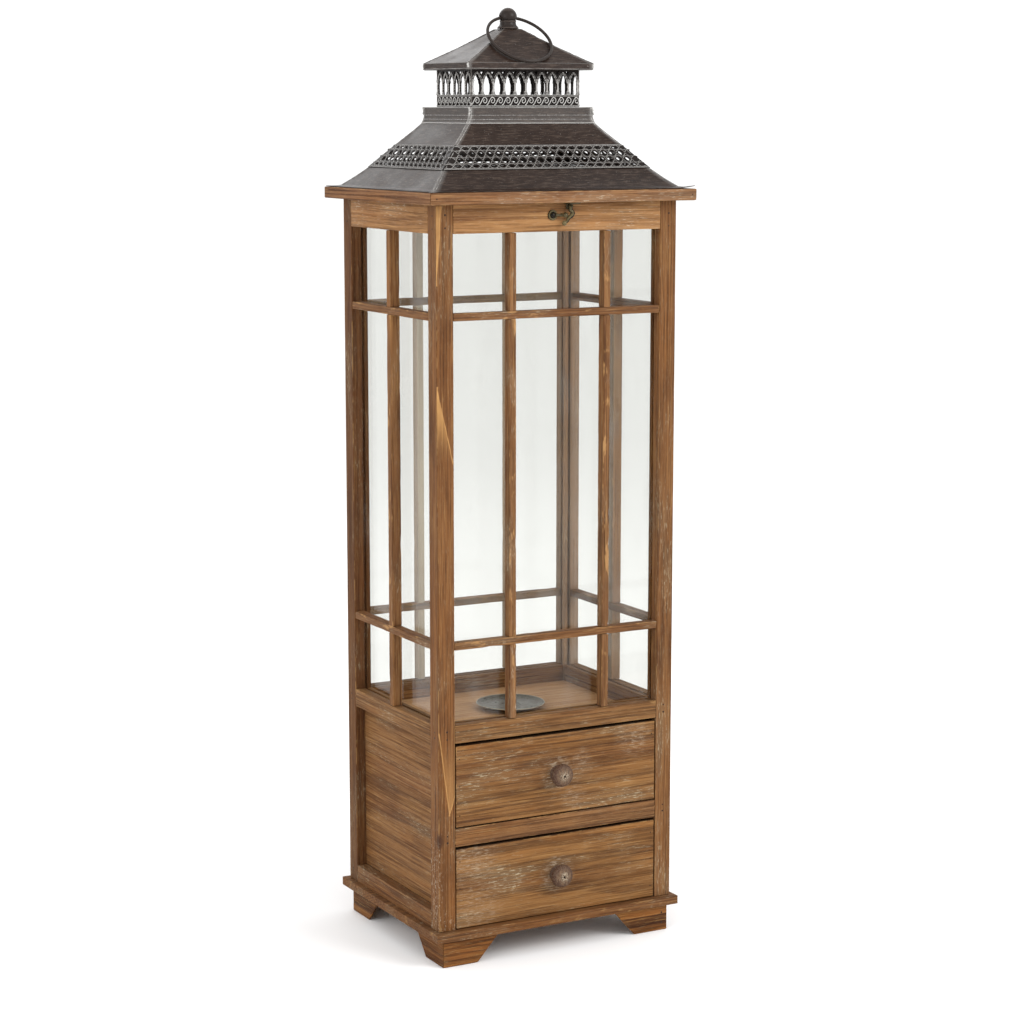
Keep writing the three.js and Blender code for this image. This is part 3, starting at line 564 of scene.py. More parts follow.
def ring_faces(rings, sides, closed=False):
    """The faces between neighbouring rings of points, and between the last and the first if closed."""
    faces = []
    for i in range(rings if closed else rings - 1):
        a, b = i * sides, ((i + 1) % rings) * sides
        for k in range(sides):
            j = (k + 1) % sides
            faces.append((a + k, a + j, b + j, b + k))
    return faces


def distinct(values):
    """The different values among those given, in order, to a hundredth of a millimetre."""
    return sorted(set(np.round(values, 5)))


def round_edges(bm, width, angle):
    """Bevels the edges at which two faces meet at more than the given angle."""
    bmesh.ops.bevel(
        bm,
        geom=[e for e in bm.edges if e.is_manifold and e.calc_face_angle(0) > angle],
        offset=width,
        segments=2,
        profile=0.5,
        affect="EDGES",
        clamp_overlap=True,
    )


def even_normals(piece):
    """Normals that follow the large faces, so that eased arrises look round and faces look flat."""
    piece.data.shade_smooth()
    piece.data.set_sharp_from_angle(angle=math.radians(50))
    modifier = piece.modifiers.new("normals", "WEIGHTED_NORMAL")
    modifier.keep_sharp = True
    return piece


def smooth_piece(name, mesh, material, degrees):
    """A piece shaded smooth, apart from edges sharper than the given angle."""
    piece = new_object(name, mesh, material)
    mesh.shade_smooth()
    mesh.set_sharp_from_angle(angle=math.radians(degrees))
    return piece


def set_attribute(mesh, name, kind, values):
    layer = mesh.attributes.new(name, kind, "POINT")
    key = "vector" if kind == "FLOAT_VECTOR" else "value"
    layer.data.foreach_set(key, np.asarray(values, np.float32).ravel())


def mesh_points(mesh):
    points = np.zeros(len(mesh.vertices) * 3, np.float32)
    mesh.vertices.foreach_get("co", points)
    return points.reshape(-1, 3)


def node_points(node):
    """The corners of a CAD node."""
    return mesh_points(frame["nodes"][node].data).astype(float)


def join_meshes(name, meshes):
    """One mesh from several, with their attributes."""
    bm = bmesh.new()
    for mesh in meshes:
        bm.from_mesh(mesh)
        bpy.data.meshes.remove(mesh)
    return mesh_of(bm, name)


def tube(path, radius, sides=6, closed=False):
    """Points and faces of a wire along a path. The radius is a number or one for each point."""
    count = len(path)
    radii = radius if isinstance(radius, (list, np.ndarray)) else [radius] * count
    points, normal = [], None
    for i, spot in enumerate(path):
        before = path[i - 1] if (i > 0 or closed) else path[i]
        after = path[(i + 1) % count] if (i < count - 1 or closed) else path[i]
        heading = (after - before).normalized()
        if normal is None:
            helper = Vector((0, 0, 1)) if abs(heading.z) < 0.9 else Vector((1, 0, 0))
            normal = heading.cross(helper).normalized()
        normal = (normal - heading * normal.dot(heading)).normalized()
        binormal = heading.cross(normal)
        for k in range(sides):
            t = 2 * math.pi * k / sides
            points.append(spot + (normal * math.cos(t) + binormal * math.sin(t)) * radii[i])
    faces = ring_faces(count, sides, closed)
    if not closed:
        faces.append(tuple(range(sides))[::-1])
        faces.append(tuple(range((count - 1) * sides, count * sides)))
    return points, faces


class Relief:
    """Gathers many small solids into one mesh, each with its own highlight."""

    def __init__(self):
        self.points, self.faces, self.lit = [], [], []

    def add(self, points, faces, lit=0.0):
        start = len(self.points)
        self.points.extend(points)
        self.faces.extend(tuple(start + i for i in face) for face in faces)
        self.lit.extend(lit if isinstance(lit, (list, np.ndarray)) else [lit] * len(points))

    def wire(self, path, radius, sides=6, closed=False, lit=0.5, out=None):
        """A round wire. With out, the side that looks that way is bright (rubbed silver on the hood, a
        painted highlight on the latch lever) and the other sides are marked below zero, which sheet metal
        paints as shade.
        """
        points, faces = tube(path, radius, sides, closed)
        if out is not None:
            shares = []
            for i, point in enumerate(points):
                away = (point - path[i // sides]).normalized().dot(out)
                # The far side is marked below zero, which sheet metal paints as shade.
                shares.append(lit if away > 0.5 else -0.35)
            lit = shares
        self.add(points, faces, lit)

    def blob(self, centre, size, lit=0.6, rings=5, sides=8):
        """A lump: a ball squashed to the given half sizes."""
        points = []
        for i in range(rings + 1):
            p = math.pi * i / rings
            for k in range(sides):
                t = 2 * math.pi * k / sides
                unit = Vector((math.sin(p) * math.cos(t), math.sin(p) * math.sin(t), math.cos(p)))
                points.append(centre + Vector(unit[n] * size[n] for n in range(3)))
        self.add(points, ring_faces(rings + 1, sides), lit)

    def mesh(self, name):
        mesh = mesh_from(name, self.points, self.faces)
        set_attribute(mesh, "highlight", "FLOAT", self.lit)
        bm = bmesh.new()
        bm.from_mesh(mesh)
        bmesh.ops.remove_doubles(bm, verts=bm.verts, dist=0.0005 * MM)
        bmesh.ops.recalc_face_normals(bm, faces=bm.faces)
        bm.to_mesh(mesh)
        bm.free()
        mesh.shade_smooth()
        return mesh


# ---- Timber ------------------------------------------------------------------------------------------

SLICE = 11 * MM  # between the cuts across a board, which let it waver
HOLD = 3.6 * MM  # from a board's arris to the first cut along it
JOINT_GAP = 0.12 * MM  # the fine line between two boards of one piece


def solid_of(node):
    """A CAD node's solid as a bmesh, with its flat faces whole again."""
    bm = bmesh.new()
    bm.from_mesh(frame["nodes"][node].data)
    bmesh.ops.remove_doubles(bm, verts=bm.verts, dist=0.01 * MM)
    bmesh.ops.dissolve_limit(bm, angle_limit=math.radians(1), verts=bm.verts, edges=bm.edges)
    return bm


def box_solid(low, high):
    """A box between two corners, as a bmesh."""
    bm = bmesh.new()
    bmesh.ops.create_cube(bm, size=1.0)
    low, high = Vector(low), Vector(high)
    for vert in bm.verts:
        vert.co = Vector(low[i] + (vert.co[i] + 0.5) * (high[i] - low[i]) for i in range(3))
    return bm


def cut_across(bm, axis, positions):
    """Cuts all faces of a solid by planes across an axis."""
    direction = Vector([1.0 if i == axis else 0.0 for i in range(3)])
    for position in positions:
        everything = bm.verts[:] + bm.edges[:] + bm.faces[:]
        bmesh.ops.bisect_plane(bm, geom=everything, plane_co=direction * position, plane_no=direction)


def board_mesh(bm, grain, ease=0.6 * MM, rough=1.0, tone=None, sooty=False, bare=(0.0, None)):
    """Turns a sharp solid into a worked board: eased arrises, a little waver, small dents along the
    arrises, and the attributes that its material reads. With the top shade flag, the top is painted dark as
    the shade in the gap above it. bare is how little stain the faces have that look away from the given
    outward direction."""
    along = GRAINS[grain]
    points = np.array([v.co for v in bm.verts])
    low, high = points.min(0), points.max(0)
    size = high - low
    round_edges(bm, ease, 0.3)
    steps = max(1, round(size[along] / SLICE))
    cut_across(bm, along, [low[along] + size[along] * i / steps for i in range(1, steps)])
    for axis in range(3):
        if axis != along and size[axis] > 3 * HOLD:
            inner = np.arange(low[axis] + HOLD, high[axis] - HOLD / 2, max(HOLD * 2.6, size[axis] / 8))
            cut_across(bm, axis, [*inner, high[axis] - HOLD])

    bm.normal_update()
    seed = Vector((rng.uniform(0, 90), rng.uniform(0, 90), rng.uniform(0, 90)))
    middle = (low + high) / 2
    edges = []
    for vert in bm.verts:
        away = sorted(min(vert.co[i] - low[i], high[i] - vert.co[i]) for i in range(3))
        edges.append(max(0.0, away[1]))
        spot = vert.co * 38 + seed
        move = noise.noise_vector(spot) * (0.09 * MM * rough)
        if away[1] < ease:
            dent = max(0.0, noise.noise(vert.co * 150 + seed) - 0.3)
            move -= vert.normal * (dent * 1.6 * MM * rough)
        vert.co += move
    points = np.array([v.co for v in bm.verts])
    share, outward = bare
    hidden = np.zeros(len(points))
    if outward is not None:
        hidden = np.array([share * (1 - v.normal.dot(outward)) / 2 for v in bm.verts])
    mesh = mesh_of(bm, "board")

    # The heart of the log lies off to one side of the board, at random.
    others = [i for i in range(3) if i != along]
    wide, thin = sorted(others, key=lambda i: -size[i])
    local = points - middle
    shift = rng.uniform(-0.6, 0.6) * size[wide]
    heart = rng.uniform(0.4, 1.6) * size[wide] + 9 * MM
    coordinates = np.stack(
        [local[:, along] + rng.uniform(0, 80), local[:, wide] - shift, local[:, thin] + heart], 1
    )
    set_attribute(mesh, "grain", "FLOAT_VECTOR", coordinates)
    set_attribute(mesh, "edge", "FLOAT", edges)
    tones = np.full(len(points), rng.random() if tone is None else tone)
    # Painted shade: the top face is marked dark, for the shade in the narrow gap under the rail above.
    if sooty:
        tones[points[:, 2] > high[2] - 0.35 * MM] = 1.72
    tones = np.where(hidden > 0.1, -hidden, tones)
    set_attribute(mesh, "tone", "FLOAT", tones)
    return mesh


def board(node, body, slot, material, grain, **options):
    """A piece of timber that stands for one CAD node of the same shape."""
    mesh = board_mesh(solid_of(node), grain, **options)
    piece = new_object(node + "_timber", mesh, WOOD[material])
    return install(even_normals(piece), body, slot, node)


def boards(node, body, slot, material, parts):
    """One piece made of several boards, each (low corner, high corner, grain, options)."""
    meshes = [board_mesh(box_solid(lo, hi), grain, **options) for lo, hi, grain, options in parts]
    piece = new_object(node + "_timber", join_meshes(node, meshes), WOOD[material])
    return install(even_normals(piece), body, slot, node)


def run_of(wall):
    """The axis that a wall's level timber runs along."""
    return "x" if WALLS[wall][1] else "y"


STAINED = "stained_pine"
BARE_POST = {"back_right": 0.3}  # how little stain a post has towards the candle chamber

for corner in CORNERS:
    finish = "streaked" if corner == "front_left" else "frame"
    low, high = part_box("post_" + corner)
    outward = (low + high).xy.to_3d().normalized()
    bare = (BARE_POST.get(corner, 0.0), outward)
    tone = 0.35 if "front" in corner else 0.8
    board("post_" + corner, "cabinet", STAINED, finish, "z", tone=tone, bare=bare)
WALL_TIMBER = {"top_rail_": ("rail", 0.0), "sill_rail_": ("sill", 0.2)}
WALL_TIMBER |= {"base_rail_": ("frame", 0.5), "lower_panel_": ("panel", 0.3)}
for wall in WALLS:
    for kind, (finish, tone) in WALL_TIMBER.items():
        if kind + wall in frame["nodes"]:
            board(kind + wall, "cabinet", STAINED, finish, run_of(wall), tone=tone)
board("base_board", "cabinet", STAINED, "frame", "x", tone=0.5)
board("candle_deck", "cabinet", "raw_pine", "deck", "x", ease=0.4 * MM, tone=0.1)
for side in ("left", "right"):
    board("deck_cleat_" + side, "cabinet", STAINED, "raw", "y", ease=0.5 * MM)


BARE_INSIDE = {"back": 0.95, "right": 0.4}  # how little stain the glazing bars have towards the glass


def lattice(wall):
    """Glazing bars: level bars that run through, and uprights let in between them."""
    side, end = WALLS[wall]
    low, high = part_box("lattice_" + wall)
    run = GRAINS[run_of(wall)]
    points = node_points("lattice_" + wall)
    edges = distinct(points[np.abs(points[:, 2] - high.z) < 0.1 * MM][:, run])
    levels = distinct(points[np.abs(points[:, run] - low[run]) < 0.1 * MM][:, 2])
    share, outward = BARE_INSIDE.get(wall, 0.0), Vector((side, end, 0.0))
    worn = {"ease": 0.7 * MM, "rough": 1.2}
    parts = []
    for z0, z1 in zip(levels[0::2], levels[1::2]):
        lo, hi = low.copy(), high.copy()
        lo.z, hi.z = z0, z1
        parts.append((lo, hi, run_of(wall), {**worn, "tone": 0.45, "bare": (share * 0.3, outward)}))
    stops = [low.z, *levels, high.z]
    for u0, u1 in zip(edges[0::2], edges[1::2]):
        tone = rng.uniform(0.2, 0.6)
        for z0, z1 in zip(stops[0::2], stops[1::2]):
            lo, hi = low.copy(), high.copy()
            shift = rng.uniform(-0.25, 0.25) * MM
            lo[run], hi[run] = u0 + shift, u1 + shift
            lo.z, hi.z = z0 + JOINT_GAP, z1 - JOINT_GAP
            parts.append((lo, hi, "z", {**worn, "tone": tone, "bare": (share, outward)}))
    boards("lattice_" + wall, "cabinet", STAINED, "bar", parts)


for wall in WALLS:
    lattice(wall)


def slab(under, over):
    """A solid between two outlines that have equally many corners."""
    count = len(under)
    faces = [tuple(range(count))[::-1], tuple(range(count, 2 * count))]
    for i in range(count):
        j = (i + 1) % count
        faces.append((i, j, count + j, count + i))
    bm = bmesh_from([*under, *over], faces)
    bmesh.ops.recalc_face_normals(bm, faces=bm.faces)
    return bm


def mitred(outline_x, outline_y, bottom, top, grain, **options):
    """A flat board whose outline is drawn in plan."""
    under, over = ([(x, y, z) for x, y in zip(outline_x, outline_y)] for z in (bottom, top))
    return board_mesh(slab(under, over), grain, **options)


def lid_frame():
    """Four boards mitred round the middle opening."""
    low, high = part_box("lid_frame")
    points = node_points("lid_frame")
    a, b = (distinct(np.abs(points[:, i]))[0] for i in range(2))
    x, y, gap = high.x, high.y, JOINT_GAP
    plans = [
        ((-x + gap, x - gap, a, -a), (-y, -y, -b, -b), "x"),
        ((-a, a, x - gap, -x + gap), (b, b, y, y), "x"),
        ((-x, -a, -a, -x), (-y + gap, -b, b, y - gap), "y"),
        ((a, x, x, a), (-b, -y + gap, y - gap, b), "y"),
    ]
    meshes = [mitred(xs, ys, low.z, high.z, run, ease=0.9 * MM, tone=0.15) for xs, ys, run in plans]
    piece = new_object("lid_frame_timber", join_meshes("lid_frame", meshes), WOOD["lid"])
    install(even_normals(piece), "lid", STAINED, "lid_frame")


lid_frame()


def web_frame():
    """The divider rail with its runners and back rail."""
    low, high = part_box("drawer_web_frame")
    points = node_points("drawer_web_frame")
    inner_x = distinct(np.abs(points[:, 0]))[0]
    ys = distinct(points[:, 1])
    front, back = ys[1], ys[2]
    gap = 0.15 * MM
    parts = [
        (low, (high.x, front, high.z), "x", {"tone": 0.3}),
        ((low.x, back, low.z), high, "x", {"tone": 0.3}),
        ((low.x, front + gap, low.z), (-inner_x, back - gap, high.z), "y", {}),
        ((inner_x, front + gap, low.z), (high.x, back - gap, high.z), "y", {}),
    ]
    boards("drawer_web_frame", "cabinet", STAINED, "divider", parts)


web_frame()


def foot(name):
    """Two boards of a bracket foot, mitred at the outer corner."""
    points = node_points(name)
    sx, sy = (1 if "right" in name else -1), (1 if "back" in name else -1)
    low, high = points.min(0), points.max(0)
    corner = np.array([low[0] if sx < 0 else high[0], low[1] if sy < 0 else high[1]])
    sole = points[points[:, 2] < low[2] + 0.1 * MM]
    steps = distinct(np.abs(sole[:, 0] - corner[0]))
    thick, short = steps[1], steps[-1]
    long = high[0] - low[0]
    top = high[2]
    meshes = []
    for run, s in ((0, sx), (1, sy)):
        other, t = (1, sy) if run == 0 else (0, sx)

        def at(distance, depth, z):
            spot = [0.0, 0.0, z]
            spot[run] = corner[run] - s * distance
            spot[other] = corner[other] - t * depth
            return spot

        rows = []
        for depth in (0.0, thick):
            mitre = depth + JOINT_GAP
            shape = ((mitre, 0.0), (short, 0.0), (long, top), (mitre, top))
            rows.append([at(distance, depth, z) for distance, z in shape])
        meshes.append(board_mesh(slab(*rows), "xy"[run], ease=1.0 * MM, tone=0.2 if run == 0 else 0.6))
    piece = new_object(name + "_timber", join_meshes(name, meshes), WOOD["foot"])
    install(even_normals(piece), "cabinet", STAINED, name)


for corner in CORNERS:
    foot("foot_" + corner)


# ---- Drawers -----------------------------------------------------------------------------------------


def revolve(profile, sides, centre, axis="z"):
    """Points and faces of a turned shape. The profile is (radius, height) from one end to the other."""
    points = []
    for radius, height in profile:
        for k in range(sides):
            t = 2 * math.pi * k / sides
            c, s = radius * math.cos(t), radius * math.sin(t)
            spots = {"z": (c, s, height), "y": (c, -height, s), "x": (height, c, s)}
            points.append(Vector(spots[axis]) + Vector(centre))
    return points, ring_faces(len(profile), sides)


def turned_mesh(name, profile, sides, centre, axis="z"):
    """A turned shape as a smooth mesh."""
    bm = bmesh_from(*revolve(profile, sides, centre, axis))
    bmesh.ops.remove_doubles(bm, verts=bm.verts, dist=0.002 * MM)
    bmesh.ops.recalc_face_normals(bm, faces=bm.faces)
    mesh = mesh_of(bm, name)
    mesh.shade_smooth()
    return mesh


def catmull(points, steps):
    """More points between the given ones, on a smooth curve through them."""
    points = [Vector(p) for p in points]
    last = len(points) - 1
    curve = []
    for i in range(last):
        p = [points[max(0, min(last, i + k))] for k in (-1, 0, 1, 2)]
        for step in range(steps):
            t = step / steps
            a = 2 * p[1] + (p[2] - p[0]) * t
            b = (2 * p[0] - 5 * p[1] + 4 * p[2] - p[3]) * t * t
            c = (3 * p[1] - p[0] - 3 * p[2] + p[3]) * t * t * t
            curve.append(tuple((a + b + c) / 2))
    return [*curve, tuple(points[-1])]


def smooth_profile(points, steps=5):
    """A rounder profile through the given ones, with no point beyond the axis."""
    return [(max(0.0, r), h) for r, h in catmull(points, steps)]


def knob(level):
    """A turned mushroom knob with a small hole in its face, rubbed back and chalky."""
    node = "drawer_knob_" + level
    low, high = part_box(node)
    radius = (high.x - low.x) / 2
    depth = high.y - low.y
    centre = ((low.x + high.x) / 2, high.y, (low.z + high.z) / 2)
    shape = [
        (0.0, 0.0), (0.68, 0.0), (0.7, 0.03), (0.6, 0.1), (0.51, 0.2), (0.5, 0.3), (0.62, 0.4),
        (0.88, 0.47), (0.99, 0.55), (1.0, 0.66), (0.93, 0.8), (0.78, 0.9), (0.5, 0.965),
        (0.25, 0.99), (0.11, 0.99), (0.08, 0.95), (0.07, 0.8), (0.0, 0.8),
    ]
    profile = smooth_profile([(r * radius, h * depth) for r, h in shape], 4)
    mesh = turned_mesh(node, profile, 56, centre, "y")
    local = mesh_points(mesh) - np.array(centre)
    seed = Vector((rng.uniform(0, 50), 3.0, 8.0))
    for vert in mesh.vertices:
        spot = vert.co * 210 + seed
        vert.co += noise.noise_vector(spot) * 0.16 * MM + noise.noise_vector(spot * 3) * 0.06 * MM
    grain = np.stack([local[:, 1] + 7 * rng.random(), local[:, 0] + 3 * MM, local[:, 2] + 4 * MM], 1)
    set_attribute(mesh, "grain", "FLOAT_VECTOR", grain)
    reach = np.hypot(local[:, 0], local[:, 2])
    # The back of the knob takes the full rim value, painted as shade under the head.
    behind = local[:, 1] > -0.45 * depth
    set_attribute(mesh, "tone", "FLOAT", np.where(behind, 1.0, reach / radius))
    piece = new_object(node + "_turned", mesh, WOOD["turned"])
    install(piece, "drawer_" + level, "turned_pine", node)


def drawer(level):
    """A drawer's front and bottom, its box of two sides and a back, and its knob."""
    body = "drawer_" + level
    # The front's top is painted dark as the shade in the gap above it.
    board("drawer_front_" + level, body, STAINED, "drawer", "x", rough=1.2, tone=0.1, sooty=True)
    board("drawer_bottom_" + level, body, "raw_pine", "raw", "x", ease=0.3 * MM)
    node = "drawer_box_" + level
    low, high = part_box(node)
    points = node_points(node)
    inner = distinct(np.abs(points[:, 0]))[0]
    ys = distinct(points[:, 1])
    thin = {"ease": 0.5 * MM}
    back_low = (-inner + 0.1 * MM, ys[1], low.z + 1 * MM)
    back_high = (inner - 0.1 * MM, high.y - 0.4 * MM, high.z - 1 * MM)
    parts = [
        (low, (-inner, high.y, high.z), "y", thin),
        ((inner, low.y, low.z), high, "y", thin),
        (back_low, back_high, "x", thin),
    ]
    boards(node, body, "raw_pine", "raw", parts)
    knob(level)


for level in ("upper", "lower"):
    drawer(level)


# ---- Nails -------------------------------------------------------------------------------------------


def nails(name, body, spots, axis, sign, radius=0.95 * MM):
    """Small sunk nail heads, each a dark dimpled disc just proud of the wood."""
    relief = Relief()
    for spot in spots:
        size = radius * rng.uniform(0.8, 1.15)
        profile = [(0.0, 0.02), (0.35, 0.05), (0.7, 0.12), (0.95, 0.1), (1.0, 0.0)]
        points, faces = revolve([(r * size, h * MM) for r, h in profile], 14, (0, 0, 0), axis)
        moved = []
        for point in points:
            if sign > 0 and axis == "y":
                point.y = -point.y
            if sign < 0 and axis == "x":
                point.x = -point.x
            jitter = Vector((rng.uniform(-1, 1) * 0.02 * MM for _ in range(3)))
            moved.append(point + Vector(spot) + jitter)
        relief.add(moved, faces, 0.05)
    piece = new_object(name, relief.mesh(name), METAL["nail"])
    install(piece, body, "antique_bronze")


PROUD = 0.02 * MM  # how far nails stand off the wood


def nail_rows():
    """The brads that hold the frame together, in pairs where rails meet posts."""
    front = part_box("post_front_left")[0].y - PROUD
    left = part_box("post_front_left")[0].x - PROUD
    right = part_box("post_front_right")[1].x + PROUD
    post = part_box("post_front_right")
    inner = post[0].x + 9 * MM
    tops = (778 * MM, 765 * MM)
    spots = [(inner + 1 * MM, front, z) for z in tops]
    spots += [(-inner, front, z) for z in (781 * MM, 768 * MM)]
    rails = (252 * MM, 244 * MM, 141 * MM, 134 * MM)
    spots += [(side * inner, front, z) for side in (-1, 1) for z in rails]
    nails("nails_front", "cabinet", spots, "y", -1)
    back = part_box("post_back_left")[1].y + PROUD
    heights = (780 * MM, 768 * MM, 251 * MM, 244 * MM)
    spots = [(side * inner, back, z) for side in (-1, 1) for z in heights]
    nails("nails_back", "cabinet", spots, "y", 1)
    ends = [side * (abs(front) - 9 * MM) for side in (-1, 1)]
    heights = (780 * MM, 767 * MM, 251 * MM, 245 * MM, 52 * MM)
    nails("nails_left", "cabinet", [(left, y, z) for y in ends for z in heights], "x", -1)
    nails("nails_right", "cabinet", [(right, y, z) for y in ends for z in heights], "x", 1)
    for level in ("upper", "lower"):
        low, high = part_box("drawer_front_" + level)
        rows = [low.z + (high.z - low.z) * share for share in (0.14, 0.5, 0.84)]
        spots = [(x, low.y - PROUD, z) for x in (low.x + 4 * MM, high.x - 4 * MM) for z in rows]
        nails("nails_drawer_" + level, "drawer_" + level, spots, "y", -1, 0.7 * MM)
    low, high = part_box("lid_frame")
    spots = [(x, low.y - PROUD, high.z - 6 * MM) for x in (high.x - 5 * MM, low.x + 7 * MM)]
    nails("nails_lid", "lid", spots, "y", -1, 0.8 * MM)
    low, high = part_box("foot_front_right")
    spots = [(high.x - 7 * MM, low.y - PROUD, z) for z in (9 * MM, 20 * MM)]
    nails("nails_foot", "cabinet", spots, "y", -1, 1.1 * MM)


nail_rows()


# ---- Glass and dish ----------------------------------------------------------------------------------

for wall in WALLS:
    pane = frame["nodes"]["glass_" + wall]
    pane.data.materials.clear()
    pane.data.materials.append(GLASS)


def candle_dish():
    """A spun dish with a rolled rim, on a small foot."""
    low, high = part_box("candle_dish")
    radius = (high.x - low.x) / 2
    centre = ((low.x + high.x) / 2, (low.y + high.y) / 2, low.z)
    tall = high.z - low.z
    shape = [
        (0.0, 0.0), (0.34, 0.0), (0.345, 0.06), (0.31, 0.2), (0.4, 0.24), (0.66, 0.3),
        (0.86, 0.52), (0.97, 0.8), (0.995, 0.86), (1.0, 0.93), (0.99, 1.0), (0.97, 0.99),
        (0.955, 0.92), (0.85, 0.64), (0.68, 0.47), (0.5, 0.46), (0.3, 0.46), (0.29, 0.44), (0.0, 0.44),
    ]
    profile = smooth_profile([(r * radius, h * tall) for r, h in shape], 4)
    mesh = turned_mesh("candle_dish", profile, 96, centre)
    points = mesh_points(mesh)
    reach = np.hypot(points[:, 0] - centre[0], points[:, 1] - centre[1]) / radius
    set_attribute(mesh, "highlight", "FLOAT", np.clip((reach - 0.955) * 25, 0, 1))
    piece = new_object("candle_dish_spun", mesh, METAL["dish"])
    install(piece, "cabinet", "gunmetal", "candle_dish")


candle_dish()


# ---- Hood --------------------------------------------------------------------------------------------

SHEET = 0.7 * MM
AROUND = [(-1, -1), (1, -1), (1, 1), (-1, 1)]  # the hood's corners, anticlockwise seen from above


def hood_piece(name, node, meshes, degrees=30):
    """A piece of the lid's sheet metal, made of several meshes."""
    piece = smooth_piece(name, join_meshes(node, meshes), METAL["sheet"], degrees)
    install(piece, "lid", "pewter_sheet", node)


def bend_lines(node):
    """The outer level rectangles of a sheet node, from the bottom up, as (half x, half y, z)."""
    points = node_points(node)
    lines = {}
    for x, y, z in np.abs(points).round(5):
        widest = lines.get(z, (0.0, 0.0))
        lines[z] = (max(widest[0], x), max(widest[1], y))
    return [(a, b, z) for z, (a, b) in sorted(lines.items())]


def hood_surface(name, lines, columns=28, buckle=0.35 * MM, thickness=SHEET, seed=1.0, painted_sheen=0.0):
    """A sheet with four sides that follows level rectangles, a little buckled as hand-bent sheet is."""
    points, lit = [], []
    for a, b, z in lines:
        for k in range(4):
            (i0, j0), (i1, j1) = AROUND[k], AROUND[(k + 1) % 4]
            for c in range(columns):
                t = c / columns
                spot = Vector(((i0 + (i1 - i0) * t) * a, (j0 + (j1 - j0) * t) * b, z))
                away = min(t, 1 - t) * 2
                push = noise.noise(spot * 22 + Vector((seed, 0, 0))) * buckle * min(1.0, away * 4)
                outward = Vector((0, j0, 0)) if k in (0, 2) else Vector((i0, 0, 0))
                points.append(spot + (outward * 0.5 + Vector((0, 0, 0.8))) * push)
                lit.append(max(0.0, 1 - away * 40))
    bm = bmesh_from(points, ring_faces(len(lines), 4 * columns))
    # The sheen value lifts the whole sheet towards silver, a painted reflection; the corners get a little
    # more.
    layer = bm.verts.layers.float.new("highlight")
    for vert, value in zip(bm.verts, lit):
        vert[layer] = painted_sheen + value * 0.25
    bmesh.ops.recalc_face_normals(bm, faces=bm.faces)
    bmesh.ops.solidify(bm, geom=bm.faces[:], thickness=thickness)
    mesh = mesh_of(bm, name)
    mesh.shade_smooth()
    mesh.set_sharp_from_angle(angle=math.radians(28))
    return mesh


def hip_seams(relief, lines, radius=0.4 * MM, double=True, bright=0.5):
    """Soldered seams up the four corners of the hood: two uneven lines of solder side by side."""
    for i, j in AROUND:
        for side in ((-1, 1) if double else (0,)):
            path, radii = [], []
            for (a0, b0, z0), (a1, b1, z1) in zip(lines, lines[1:]):
                for step in range(14):
                    t = step / 14
                    spot = Vector((i * (a0 + (a1 - a0) * t), j * (b0 + (b1 - b0) * t), z0 + (z1 - z0) * t))
                    spot += Vector((-i * max(0, side), -j * max(0, -side), 0)) * 2.1 * MM
                    wobble = noise.noise_vector(spot * 260) * 0.35 * MM
                    path.append(spot + wobble + Vector((0, 0, 0.15 * MM)))
                    radii.append(radius * (0.75 + 0.6 * abs(noise.noise(spot * 420))))
            lit = [bright * (0.35 + 0.9 * abs(noise.noise(spot * 160))) for spot in path for _ in range(6)]
            relief.wire(path, radii, 6, lit=lit)


FLANGE_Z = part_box("hood_skirt")[0].z


def wavy_rectangle(relief, a, b, z, radius, lit, cells, steps=40, waver=0.2 * MM):
    """A wire round a level rectangle of the hood, as four slightly wavy sides."""
    corners = [Vector((i * a, j * b, z)) for i, j in AROUND]
    for start, end in zip(corners, corners[1:] + corners[:1]):
        straight = [start.lerp(end, s / steps) for s in range(steps + 1)]
        path = [spot + noise.noise_vector(spot * cells) * waver for spot in straight]
        relief.wire(path, radius, 6, lit=lit)


def skirt():
    """The flared foot of the hood, with its front right corner lifted off the lid a little."""
    lines = [line for line in bend_lines("hood_skirt") if line[2] > FLANGE_Z + 0.2 * MM]
    flange, foot_line, belly, top = lines[0], lines[1], lines[2], lines[-1]
    slope = catmull([foot_line, belly, top], 6)
    rim = (flange[0], flange[1], flange[2] - 0.2 * MM)
    bend = (foot_line[0] + 4 * MM, foot_line[1] + 5 * MM, flange[2])
    mesh = hood_surface("hood_skirt", [rim, bend, *slope], 36, 0.5 * MM)
    corner = Vector((flange[0], -flange[1]))
    for vert in mesh.vertices:
        away = (vert.co.xy - corner).length / (26 * MM)
        vert.co.z += 2.4 * MM * max(0.0, 1 - away) ** 2
    relief = Relief()
    hip_seams(relief, slope, 0.32 * MM, bright=0.7)
    hood_piece("hood_skirt_sheet", "hood_skirt", [mesh, relief.mesh("skirt_seams")])


skirt()


